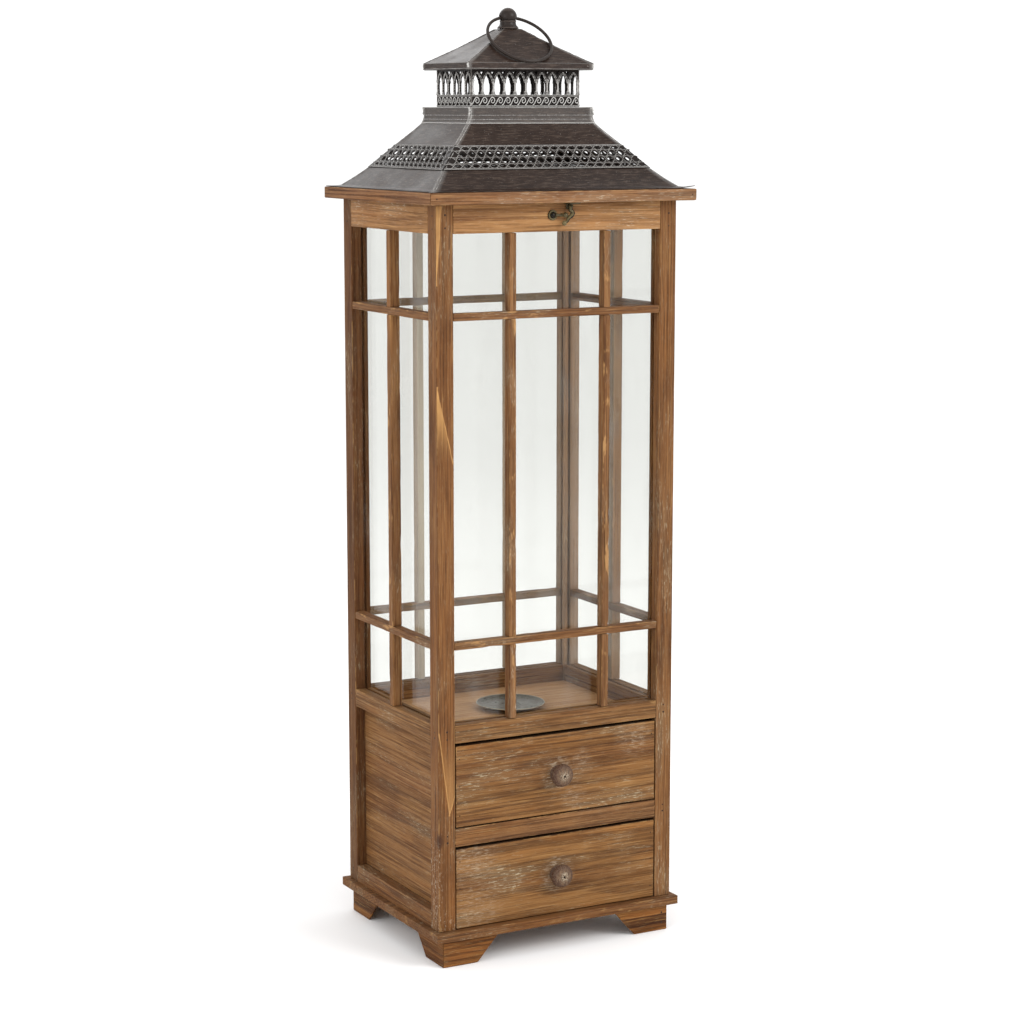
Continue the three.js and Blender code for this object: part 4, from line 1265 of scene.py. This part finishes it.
class Side:
    """One side of a sheet band between two level rectangles: its middle, its unit vectors along, up the
    slope and outwards, its half widths at the bottom and the top, and its height up the slope."""

    def __init__(self, turn, lower, upper):
        (a0, b0, z0), (a1, b1, z1) = lower, upper
        facing_y = turn % 2 == 0
        sign = -1 if turn in (0, 3) else 1
        across = Vector((0, sign, 0)) if facing_y else Vector((sign, 0, 0))
        reach0, reach1 = (b0, b1) if facing_y else (a0, a1)
        foot_point = across * reach0 + Vector((0, 0, z0))
        head_point = across * reach1 + Vector((0, 0, z1))
        self.half0, self.half1 = (a0, a1) if facing_y else (b0, b1)
        self.middle = (foot_point + head_point) / 2
        self.tall = (head_point - foot_point).length
        self.up = (head_point - foot_point).normalized()
        self.along = Vector((1, 0, 0)) if facing_y else Vector((0, 1, 0))
        if self.along.cross(self.up).dot(across) < 0:
            self.along = -self.along
        self.out = self.along.cross(self.up)

    def at(self, x, y, lift=0.0):
        """The place that far along, up and out from its middle."""
        return self.middle + self.along * x + self.up * y + self.out * lift

    def half(self, y):
        """Half its width at a height from its middle."""
        return self.half0 + (self.half1 - self.half0) * (y / self.tall + 0.5)

    def sheet(self, name, holes, sink=0.0):
        """Its sheet with holes in it, near black with dirt and painted shade, sunk by that much behind its
        middle.
        """
        foot, head = -self.tall / 2, self.tall / 2
        outline = [(-self.half0, foot), (self.half0, foot), (self.half1, head), (-self.half1, head)]
        bm = pierced_sheet(name, outline, holes, SHEET)
        matrix = Matrix((self.along, self.up, self.out)).transposed().to_4x4()
        matrix.translation = self.at(0, 0, -sink)
        bmesh.ops.transform(bm, matrix=matrix, verts=bm.verts)
        mesh = mesh_of(bm, name)
        # Below zero: painted near black, dirt and the shade behind the relief.
        set_attribute(mesh, "highlight", "FLOAT", np.full(len(mesh.vertices), -0.4))
        return mesh


def pierced_sheet(name, outline, holes, thickness):
    """A flat sheet with holes, in its own plane, as a bmesh: x along, y up, z out."""
    curve = bpy.data.curves.new(name, "CURVE")
    curve.dimensions = "2D"
    curve.fill_mode = "BOTH"
    curve.extrude = thickness / 2
    for loop in [outline, *holes]:
        spline = curve.splines.new("POLY")
        spline.points.add(len(loop) - 1)
        for point, (x, y) in zip(spline.points, loop):
            point.co = (x, y, 0.0, 1.0)
        spline.use_cyclic_u = True
    piece = bpy.data.objects.new(name, curve)
    mesh = bpy.data.meshes.new_from_object(piece)
    bpy.data.objects.remove(piece)
    bpy.data.curves.remove(curve)
    bm = bmesh.new()
    bm.from_mesh(mesh)
    bpy.data.meshes.remove(mesh)
    bmesh.ops.remove_doubles(bm, verts=bm.verts, dist=0.001 * MM)
    return bm


def oval(x, y, a, b, count=14, point=0.0):
    """An oval loop; with point it narrows towards its top like a drop."""
    loop = []
    for k in range(count):
        t = 2 * math.pi * k / count
        narrow = 1 - point * max(0.0, math.sin(t))
        loop.append((x + a * narrow * math.cos(t), y + b * math.sin(t)))
    return loop


BAND_PITCH = 10.3 * MM
# Rows of openings in the band, as shares of its height from the middle, with half sizes as shares of
# the pitch, whether they stand between the first row's, and how far they narrow to a point.
BAND_ROWS = [
    (-0.355, 0.3, 0.12, False, 0.0),
    (-0.13, 0.33, 0.27, True, 0.15),
    (0.13, 0.32, 0.29, False, 0.3),
    (0.355, 0.25, 0.13, True, 0.2),
]


def filigree_band():
    """A pierced and embossed band: interlaced wavy ribs round rows of openings, between beaded edges."""
    lines = bend_lines("hood_filigree_band")
    lower, upper = lines[0], lines[-1]
    relief = Relief()
    meshes = []
    for turn in range(4):
        side = Side(turn, lower, upper)
        holes = []
        for share, wide, high, offset, point in BAND_ROWS:
            y = share * side.tall
            limit = side.half(y) - 0.75 * BAND_PITCH
            count = int(limit / BAND_PITCH) + 1
            for k in range(-count, count + 1):
                x = (k + (0.5 if offset else 0.0)) * BAND_PITCH
                if abs(x) < limit:
                    holes.append(oval(x, y, wide * BAND_PITCH, high * BAND_PITCH, 14, point))
        meshes.append(side.sheet("band", holes))
        for share, wide, high, offset, point in BAND_ROWS:
            for phase in (0.0, math.pi):
                y0 = share * side.tall
                swing = (high + 0.16) * BAND_PITCH
                reach = side.half(y0) - 1.2 * MM
                steps = int(2 * reach / (0.95 * MM))
                shift = 0.5 if offset else 0.0
                path = []
                for s in range(steps + 1):
                    x = -reach + 2 * reach * s / steps
                    wave = 2 * math.pi * (x / BAND_PITCH - shift) / 2
                    y = y0 + swing * abs(math.cos(wave)) ** 0.8 * (1 if phase else -1)
                    over = 0.3 * MM * math.cos(4 * wave + phase)
                    path.append(side.at(x, y, 0.4 * MM + over * 0.4))
                relief.wire(path, 0.4 * MM, 6, lit=0.6, out=side.out)
        for share, size, gap in ((-0.475, 0.5, 1.7), (-0.44, 0.3, 0), (0.478, 0.5, 1.7), (0.44, 0.3, 0)):
            y0 = share * side.tall
            reach = side.half(y0) - 0.8 * MM
            steps = int(2 * reach / (0.42 * MM)) if gap else 40
            path = [side.at(-reach + 2 * reach * s / steps, y0, 0.3 * MM) for s in range(steps + 1)]
            radii = size * MM
            if gap:
                swells = [abs(math.sin(math.pi * s * 0.42 / gap)) for s in range(steps + 1)]
                radii = [size * MM * (0.62 + 0.38 * swell) for swell in swells]
            relief.wire(path, radii, 6, lit=0.5, out=side.out)
    hip_seams(relief, [lower, upper], 0.36 * MM, bright=0.8)
    meshes.append(relief.mesh("band_relief"))
    hood_piece("hood_band_filigree", "hood_filigree_band", meshes, 40)


filigree_band()


def shoulder():
    """The plain slope between the pierced band and the collar."""
    lines = bend_lines("hood_shoulder")
    slope = catmull([lines[0], lines[1], lines[-1]], 5)
    mesh = hood_surface("hood_shoulder", slope, 30, 0.5 * MM, seed=5.0)
    relief = Relief()
    hip_seams(relief, slope, 0.32 * MM, bright=1.0)
    hood_piece("hood_shoulder_sheet", "hood_shoulder", [mesh, relief.mesh("shoulder_seams")])


shoulder()


def solder_lump(relief, spot, size, count=9):
    """A runny lump of solder at a corner: overlapping drops."""
    for _ in range(count):
        shift = Vector(rng.uniform(-1, 1) * s for s in size)
        drop = Vector((1, 1, 1.3)) * rng.uniform(0.5, 1.1) * MM
        relief.blob(spot + shift, drop, lit=rng.uniform(0.6, 1.0), rings=6, sides=8)


def collar():
    """The upright collar under the gallery, with the shelf on top of it."""
    lines = bend_lines("hood_collar")
    foot_line, bend, top = lines[0], lines[1], lines[-1]
    slope = catmull([foot_line, bend, top], 7)
    # A painted sheen lightens the collar's upright faces, for the light they reflect.
    mesh = hood_surface("hood_collar", slope, 26, 0.25 * MM, seed=9.0, painted_sheen=0.07)
    shelf = [(top[0], top[1], top[2]), (top[0] * 0.8, top[1] * 0.64, top[2] - 0.1 * MM)]
    shelf_mesh = hood_surface("collar_shelf", shelf, 26, 0.1 * MM, seed=2.0)
    relief = Relief()
    hip_seams(relief, slope, 0.4 * MM, bright=1.0)
    for i, j in AROUND:
        corner = Vector((i * (top[0] + 0.3 * MM), j * (top[1] + 0.3 * MM), top[2] - 4.5 * MM))
        solder_lump(relief, corner, (0.7 * MM, 0.7 * MM, 4 * MM), 12)
    # Two dotted lines round the collar, a thin bright edge at its foot and a rolled one round its top.
    for share in (0.24, 0.5):
        z = foot_line[2] + (top[2] - foot_line[2]) * share
        a, b = (bend[0] + 0.2 * MM, bend[1] + 0.2 * MM)
        if share < 0.4:
            a, b = (foot_line[0] - 0.4 * MM, foot_line[1])
        front_left = Vector((-a, -b, z))
        for start, end in ((front_left, Vector((a, -b, z))), (Vector((-a, b, z)), front_left)):
            path = [start.lerp(end, s / 150) for s in range(151)]
            dots = [0.2 * MM * (0.35 + abs(noise.noise(p * 700)) * 1.6) for p in path]
            relief.wire(path, dots, 6, lit=0.85)
    rolled = (top[0], top[1], top[2] - 0.3 * MM, 0.55 * MM, 0.35)
    for a, b, z, radius, lit in ((*foot_line, 0.45 * MM, 0.8), rolled):
        wavy_rectangle(relief, a, b, z, radius, lit, 90)
    hood_piece("hood_collar_sheet", "hood_collar", [mesh, shelf_mesh, relief.mesh("collar_relief")])


collar()

FRIEZE_SHARE = 0.29  # of the gallery's height
BAYS = (10, 6, 10, 6)  # on the front, right, back and left


def arch_hole(x, low, high, wide):
    """A bay's opening: it narrows at the columns' bases and capitals, and is pointed at its head."""
    tall = high - low
    right = [
        (0.4, 0.0), (0.43, 0.06), (0.48, 0.14), (0.5, 0.35), (0.48, 0.54), (0.4, 0.6), (0.4, 0.66),
        (0.45, 0.7), (0.4, 0.82), (0.24, 0.93),
    ]
    loop = [(x + u * wide, low + v * tall) for u, v in right]
    loop.append((x, high))
    loop.extend((x - u * wide, low + v * tall) for u, v in reversed(right))
    return loop


def wave_scroll(pitch, height, steps=26):
    """One crest of a running wave, as (along, up) from its foot: it climbs, curls over and winds in."""
    path = []
    for s in range(steps + 1):
        t = s / steps
        if t < 0.45:
            u = t / 0.45
            climb = u * u * (3 - 2 * u)
            path.append((pitch * (-0.62 + 0.72 * u), height * (0.04 + 0.88 * climb)))
        else:
            u = (t - 0.45) / 0.55
            angle = math.pi / 2 - u * 2.1 * math.pi
            radius = height * 0.4 * (1 - 0.8 * u)
            curl = (radius * math.cos(angle) * 0.9, radius * math.sin(angle))
            path.append((pitch * 0.14 + curl[0], height * 0.52 + curl[1]))
    return path


def gallery():
    """The vent: an arcade of little columns under pointed arches, over a frieze of running waves."""
    low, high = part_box("vent_gallery")
    lower, upper = (high.x, high.y, low.z), (high.x, high.y, high.z)
    relief = Relief()
    meshes = []
    for turn, bays in enumerate(BAYS):
        side = Side(turn, lower, upper)
        half, out = side.half0, side.out
        pitch = 2 * half / bays
        foot_y, head_y = -side.tall / 2, side.tall / 2
        frieze_top = foot_y + FRIEZE_SHARE * side.tall
        sill, crown = frieze_top + 1.4 * MM, frieze_top + 22.5 * MM
        holes = [arch_hole(-half + (k + 0.5) * pitch, sill, crown, 0.74 * pitch) for k in range(bays)]
        head = head_y - 1.4 * MM
        for k in range(1, bays):
            x = -half + k * pitch
            holes.append([(x - 2.4 * MM, head), (x, head - 5.2 * MM), (x + 2.4 * MM, head)])
        meshes.append(side.sheet("gallery", holes, SHEET))
        for k in range(bays + 1):
            x = max(-half + 1.2 * MM, min(half - 1.2 * MM, -half + k * pitch))
            # Shaft, base and capital of a half-round column.
            shaft = [side.at(x, sill + 3 * MM + s * 1.3 * MM, -0.2 * MM) for s in range(9)]
            girth = [(1.5 - 0.2 * math.sin(math.pi * s / 8)) * MM for s in range(9)]
            relief.wire(shaft, girth, 12, lit=0.6, out=out)
            for y, wide in ((0.4, 2.5), (1.7, 2.2), (2.9, 2.0), (12.9, 2.0), (14.2, 2.35), (15.4, 2.0)):
                places = ((-wide, 0.1), (0, 0.8), (wide, 0.1))
                ring = [side.at(x + aside * MM, sill + y * MM, lift * MM) for aside, lift in places]
                relief.wire(ring, 0.42 * MM, 6, lit=0.95, out=out)
        for k in range(bays):
            x = -half + (k + 0.5) * pitch
            for grow, radius, lit in ((1.0, 0.46, 0.9), (1.32, 0.38, 0.7)):
                path = []
                for s in range(17):
                    u = -1 + 2 * s / 16
                    y = crown + 0.9 * MM - (abs(u) ** 1.5) * 7.6 * MM + (grow - 1) * 3.4 * MM
                    path.append(side.at(x + u * pitch * 0.36 * grow, min(y, head_y - 0.5 * MM), 0.15 * MM))
                relief.wire(path, radius * MM, 6, lit=lit, out=out)
        # The frieze: fillets above and below, and the waves between them.
        waves = round(2 * half / (9.04 * MM))
        wave_pitch = 2 * half / waves
        floor, ceiling = foot_y + 1.6 * MM, frieze_top - 0.5 * MM
        for y, radius in ((foot_y + 0.9 * MM, 0.55), (frieze_top, 0.6), (frieze_top + 1.2 * MM, 0.35)):
            path = [side.at(-half + 2 * half * s / 30, y, 0.15 * MM) for s in range(31)]
            relief.wire(path, radius * MM, 6, lit=0.8, out=out)
        scroll = wave_scroll(wave_pitch, ceiling - floor)
        for k in range(waves):
            x = -half + (k + 0.55) * wave_pitch
            path = [side.at(max(-half, min(half, x + u)), floor + v, 0.2 * MM) for u, v in scroll]
            radii = [0.66 * MM * (1 - 0.3 * s / len(path)) for s in range(len(path))]
            relief.wire(path, radii, 8, lit=1.0, out=out)
    for i, j in AROUND:
        edge = [Vector((i * high.x, j * high.y, low.z + (high.z - low.z) * s / 20)) for s in range(21)]
        relief.wire(edge, [0.8 * MM * (1 + 0.25 * noise.noise(p * 300)) for p in edge], 8, lit=0.15)
        corner = Vector((i * high.x, j * high.y, low.z + 3 * MM))
        solder_lump(relief, corner, (0.5 * MM, 0.5 * MM, 2.5 * MM), 8)
    meshes.append(relief.mesh("gallery_relief"))
    hood_piece("vent_gallery_arcade", "vent_gallery", meshes, 40)


gallery()


VENT_HOLE = (58 * MM, 33.5 * MM)  # half sizes of the hole from the gallery into the cap


def cap():
    """The cap: a shallow sheet pyramid with a turned-down fascia and a soffit inside it."""
    low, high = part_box("cap_roof")
    lines = bend_lines("cap_roof")
    eave = max(line[2] for line in lines if line[0] > 0.9 * high.x)
    peak = 10 * MM  # half the width of the flat under the finial
    bottom = (high.x, high.y, low.z)
    shoulder_line = (high.x - 0.3 * MM, high.y - 0.3 * MM, eave)
    fascia = [bottom, (high.x - 0.1 * MM, high.y - 0.1 * MM, (low.z + eave) / 2), shoulder_line]
    slope = []
    for s in range(13):
        t = s / 12
        sag = -0.9 * MM * math.sin(math.pi * t)
        level = Vector(shoulder_line).lerp(Vector((peak, peak, high.z)), t)
        slope.append((level.x, level.y, level.z + sag))
    top = (0.5 * MM, 0.5 * MM, high.z)
    pyramid = hood_surface("cap_pyramid", [*slope, top], 26, 0.5 * MM, seed=14.0)
    edge = hood_surface("cap_fascia", fascia, 26, 0.2 * MM, seed=15.0)
    inner = [(high.x - 0.8 * MM, high.y - 0.8 * MM, low.z + 0.2 * MM), (*VENT_HOLE, low.z + 0.4 * MM)]
    soffit = hood_surface("cap_soffit", inner, 10, 0.1 * MM, seed=16.0)
    relief = Relief()
    hip_seams(relief, slope, 0.3 * MM, double=False, bright=0.15)
    for a, b, z, radius, lit in (
        (high.x - 0.35 * MM, high.y - 0.35 * MM, low.z + 0.55 * MM, 0.55 * MM, 0.25),
        (shoulder_line[0] - 0.1 * MM, shoulder_line[1] - 0.1 * MM, eave, 0.35 * MM, 0.15),
    ):
        wavy_rectangle(relief, a, b, z, radius, lit, 80)
    for i, j in AROUND:
        spot = Vector((i * (high.x - 0.4 * MM), j * (high.y - 0.4 * MM), eave - 2.5 * MM))
        solder_lump(relief, spot, (0.4 * MM, 0.4 * MM, 2 * MM), 8)
    hood_piece("cap_roof_sheet", "cap_roof", [pyramid, edge, soffit, relief.mesh("cap_relief")])


cap()


def joint_place(body):
    """A point on the axis of the joint that carries a body."""
    return Vector(next(joint["pos_m"] for joint in frame["joints"] if joint["child"] == body))


RING_PIVOT = joint_place("carrying_ring")


def finial():
    """A ball on a flared neck, cast hollow, with the ring's hole through it."""
    low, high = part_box("finial")
    ball = 9.5 * MM
    centre_z = high.z - ball
    base = low.z
    shape = [
        (0.0, base), (10.6 * MM, base), (11 * MM, base + 0.4 * MM), (11 * MM, base + 1.4 * MM),
        (10.3 * MM, base + 2.2 * MM), (9.2 * MM, base + 3.4 * MM), (8.6 * MM, base + 5 * MM),
        (8.4 * MM, base + 6.4 * MM), (8.7 * MM, base + 7.4 * MM), (8.6 * MM, base + 8.4 * MM),
        (8.0 * MM, base + 9.0 * MM), (8.0 * MM, base + 9.3 * MM),
    ]
    profile = smooth_profile(shape, 4)
    for degrees in range(-18, 91, 6):
        t = math.radians(degrees)
        profile.append((ball * math.cos(t) if degrees < 90 else 0.0, centre_z + ball * math.sin(t)))
    mesh = turned_mesh("finial", profile, 64, (0, 0, 0))
    points = mesh_points(mesh)
    # Painted highlights on the top of the ball and on the two rings; the groove under the ball is left darker
    # as painted shade.
    lit = np.where(points[:, 2] > centre_z + 6 * MM, 0.25, 0.0)
    groove = np.abs(points[:, 2] - (base + 9.1 * MM))
    lit += np.where(groove < 1.2 * MM, 0.0, 0.06)
    for ring_z in (0.9 * MM, 7.6 * MM):
        lit += np.where(np.abs(points[:, 2] - base - ring_z) < 0.7 * MM, 0.4, 0.0)
    set_attribute(mesh, "highlight", "FLOAT", np.clip(lit, 0, 1))
    piece = new_object("finial_cast", mesh, METAL["cast"])
    bore, past = 2.6 * MM, 20 * MM
    bar = [(0, -past), (bore, -past), (bore, past), (0, past)]
    cutter = bpy.data.objects.new("cutter", turned_mesh("cutter", bar, 24, (0, 0, RING_PIVOT.z), "x"))
    cutter.data.shade_flat()
    bpy.context.scene.collection.objects.link(cutter)
    modifier = piece.modifiers.new("hole", "BOOLEAN")
    modifier.object = cutter
    modifier.operation = "DIFFERENCE"
    modifier.solver = "EXACT"
    bpy.context.view_layer.update()
    evaluated = piece.evaluated_get(bpy.context.evaluated_depsgraph_get())
    bored = bpy.data.meshes.new_from_object(evaluated)
    piece.modifiers.clear()
    piece.data = bored
    bpy.data.objects.remove(cutter)
    piece.data.set_sharp_from_angle(angle=math.radians(40))
    install(piece, "lid", "pewter_cast", "finial")


finial()


def ring():
    """The carrying ring: a round wire, a little uneven, leaning on the cap's front slope."""
    points = node_points("carrying_ring")
    centre = Vector(points.mean(0))
    toward = (centre - RING_PIVOT).normalized()
    reach = (centre - RING_PIVOT).length
    wire = 1.7 * MM
    radius = (points[:, 0].max() - points[:, 0].min()) / 2 - wire
    path = []
    for s in range(128):
        t = 2 * math.pi * s / 128
        aside = Vector((1, 0, 0)) * radius * math.sin(t)
        spot = RING_PIVOT + toward * (reach + radius * math.cos(t)) + aside
        path.append(spot + noise.noise_vector(spot * 40) * 0.2 * MM * (1 + math.cos(t)) / 2)
    relief = Relief()
    relief.wire(path, [wire * (0.97 + 0.04 * noise.noise(p * 200)) for p in path], 14, True, lit=0.12)
    piece = new_object("carrying_ring_wire", relief.mesh("carrying_ring"), METAL["cast"])
    install(piece, "carrying_ring", "pewter_cast", "carrying_ring")


ring()


# ---- Hinges and latch --------------------------------------------------------------------------------


def machined(node, body, extras=()):
    """A small bronze part in its CAD shape, with softened edges."""
    bm = solid_of(node)
    round_edges(bm, 0.25 * MM, 0.6)
    mesh = mesh_of(bm, node)
    set_attribute(mesh, "highlight", "FLOAT", np.full(len(mesh.vertices), 0.08))
    piece = smooth_piece(node + "_metal", join_meshes(node, [mesh, *extras]), METAL["bronze"], 35)
    install(piece, body, "antique_bronze", node)


def screw_heads(spots, axis, sign):
    """Small screw heads, each a low dome."""
    relief = Relief()
    for spot in spots:
        profile = [(0.0, 0.75), (0.9, 0.7), (1.5, 0.5), (1.9, 0.15), (2.0, 0.0)]
        points, faces = revolve([(r * MM, h * MM) for r, h in profile], 20, (0, 0, 0), axis)
        flip = Vector((1, 1, 1))
        flip["xyz".index(axis)] = -sign if axis == "y" else sign
        relief.add([Vector(p[n] * flip[n] for n in range(3)) + Vector(spot) for p in points], faces, 0.5)
    return relief.mesh("screws")


for side in ("left", "right"):
    low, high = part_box("hinge_cabinet_leaf_" + side)
    middle = (low.x + high.x) / 2
    leaf_y = low.y + 1.2 * MM
    spots = [(middle + dx * MM, leaf_y, low.z + 6.5 * MM) for dx in (-11, 0, 11)]
    machined("hinge_cabinet_leaf_" + side, "cabinet", extras=[screw_heads(spots, "y", 1)])
    low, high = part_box("hinge_lid_leaf_" + side)
    spots = [(middle + dx * MM, high.y - 3.4 * MM, high.z - 1.2 * MM) for dx in (-11, 0, 11)]
    machined("hinge_lid_leaf_" + side, "lid", extras=[screw_heads(spots, "z", -1)])
machined("latch_bracket", "lid")


def latch_keeper():
    """A screwed rose on the rail, with a short arm to the ball that the lever hooks round."""
    low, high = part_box("latch_keeper")
    rose_radius = (high.z - low.z) / 2
    face, rose_z = high.y, (low.z + high.z) / 2
    rose = (low.x + rose_radius, face, rose_z)
    relief = Relief()
    profile = [
        (5.4, 0.0), (5.4, 0.9), (5.0, 1.5), (4.3, 1.7), (3.6, 1.4), (3.2, 0.9), (2.9, 0.9), (2.7, 1.3),
        (2.6, 2.0), (2.0, 2.7), (1.0, 3.05), (0.0, 3.1),
    ]
    scale = rose_radius / (5.4 * MM)
    points, faces = revolve([(r * scale * MM, h * MM) for r, h in profile], 40, rose, "y")
    relief.add(points, faces, [0.16 if abs(h - 1.6) < 0.25 else 0.0 for _, h in profile for _ in range(40)])
    slot = [Vector((rose[0] + t * MM, face - 3.05 * MM, rose_z + t * 0.5 * MM)) for t in (-1.8, 0.0, 1.8)]
    relief.wire(slot, 0.35 * MM, 6, lit=0.0)
    ball = Vector((high.x - 2.6 * MM, low.y + 2.6 * MM, rose_z + 0.1 * MM))
    start = Vector((rose[0] + 2.4 * MM, face - 1.9 * MM, rose_z))
    elbow = Vector((ball.x - 3.2 * MM, face - 2.6 * MM, rose_z))
    arm = [start.lerp(elbow, s / 5) for s in range(5)]
    arm += [elbow.lerp(ball, s / 5) for s in range(6)]
    relief.wire(arm, [(1.75 - 0.4 * math.sin(math.pi * s / 10)) * MM for s in range(11)], 14, lit=0.1)
    relief.wire([elbow + Vector((0.3 * MM, 0, 0)), elbow + Vector((1.2 * MM, 0, 0))], 2.1 * MM, 16, lit=0.3)
    relief.blob(ball, (2.75 * MM, 2.6 * MM, 2.75 * MM), 0.12, 12, 20)
    piece = new_object("latch_keeper_cast", relief.mesh("latch_keeper"), METAL["bronze"])
    install(piece, "cabinet", "antique_bronze", "latch_keeper")


latch_keeper()


def latch_lever():
    """A flat-backed S that hangs from the bracket's pin, hooks round the ball and ends in a bob."""
    low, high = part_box("latch_lever")
    pivot = joint_place("latch_lever")
    middle = (low.y + high.y) / 2
    bob = Vector((low.x + 2 * MM, middle, low.z + 2 * MM))
    turns = [(-0.5, -2.4), (-0.4, -3.9), (2.1, -6.8), (0.4, -9.6), (-2.8, -12.0), (-4.4, -14.8)]
    stops = [pivot.xz] + [pivot.xz + Vector(turn) * MM for turn in turns] + [bob.xz]
    smooth = [Vector((x, middle, z)) for x, z in catmull(stops, 8)]
    radii = []
    for s in range(len(smooth)):
        t = s / (len(smooth) - 1)
        radii.append((1.5 + 0.75 * math.sin(math.pi * min(1.0, t * 1.1))) * MM)
    relief = Relief()
    # A painted highlight along the lever's upper left side.
    relief.wire(smooth, radii, 16, lit=0.2, out=Vector((-0.6, -0.6, 0.5)).normalized())
    relief.blob(bob, (2.5 * MM, 2.3 * MM, 2.5 * MM), 0.22, 12, 18)
    eye = [
        (0.0, 0.0), (1.1, 0.0), (1.15, -0.2), (2.2, -0.2), (2.45, 0.2), (2.45, 2.0), (2.2, 2.4),
        (1.3, 2.4), (1.2, 2.9), (0.9, 3.2), (0.0, 3.3),
    ]
    back = (pivot.x, high.y, pivot.z)
    points, faces = revolve([(r * MM, h * MM) for r, h in eye], 28, back, "y")
    relief.add(points, faces, 0.12)
    piece = new_object("latch_lever_cast", relief.mesh("latch_lever"), METAL["bronze"])
    install(piece, "latch_lever", "antique_bronze", "latch_lever")


latch_lever()


# ---- Floor, light and camera -------------------------------------------------------------------------


def stage():
    """A wide pale floor under a white sky."""
    g = Graph("studio_floor")
    point = g.place()
    haze = g.noise(point, (3.0, 3.0, 3.0), 2.0)
    colour = g.mix(haze, rgb(246, 246, 246), rgb(250, 250, 250))
    floor_finish = g.finish(Base_Color=colour, Roughness=0.9, Specular_IOR_Level=0.1)
    size = 60.0
    steps = 24
    row = steps + 1
    spread = [size * (i / steps - 0.5) for i in range(row)]
    points = [(x, y, 0.0) for y in spread for x in spread]
    starts = [j * row + i for j in range(steps) for i in range(steps)]
    faces = [(k, k + 1, k + row + 1, k + row) for k in starts]
    new_object("floor", mesh_from("floor", points, faces), floor_finish)

    world = bpy.data.worlds.new("studio")
    world.use_nodes = True
    background = world.node_tree.nodes["Background"]
    background.inputs["Color"].default_value = (1.0, 1.0, 1.0, 1.0)
    background.inputs["Strength"].default_value = 1.15
    bpy.context.scene.world = world


def area_light(name, location, target, size, power, colour=(1.0, 1.0, 1.0)):
    light = bpy.data.lights.new(name, "AREA")
    light.shape = "RECTANGLE"
    light.size, light.size_y = size
    light.energy = power
    light.color = colour
    lamp = bpy.data.objects.new(name, light)
    lamp.location = location
    aim = Vector(target) - Vector(location)
    lamp.rotation_mode = "QUATERNION"
    lamp.rotation_quaternion = aim.to_track_quat("-Z", "Y")
    lamp.visible_camera = False
    bpy.context.scene.collection.objects.link(lamp)


def camera():
    """The viewpoint, in front of the left corner and a little above the middle."""
    data = bpy.data.cameras.new("camera")
    data.sensor_width = 36.0
    data.lens = 89.2
    data.clip_start, data.clip_end = 0.05, 60.0
    eye = bpy.data.objects.new("camera", data)
    eye.location = (-1.2778, -2.3803, 0.8866)
    aim = Vector((0.0049, 0.0, 0.4559)) - eye.location
    eye.rotation_mode = "QUATERNION"
    eye.rotation_quaternion = aim.to_track_quat("-Z", "Y")
    bpy.context.scene.collection.objects.link(eye)
    bpy.context.scene.camera = eye


stage()
area_light("key", (1.6, -2.6, 2.2), (0, 0, 0.5), (1.6, 1.6), 60)
area_light("left", (-2.6, -1.0, 1.4), (0, 0, 0.5), (1.2, 1.8), 20)
area_light("hood_sheen", (0.2, 2.4, 2.1), (0, 0, 0.85), (2.4, 1.0), 9)
camera()
bpy.context.scene.view_settings.view_transform = "Standard"
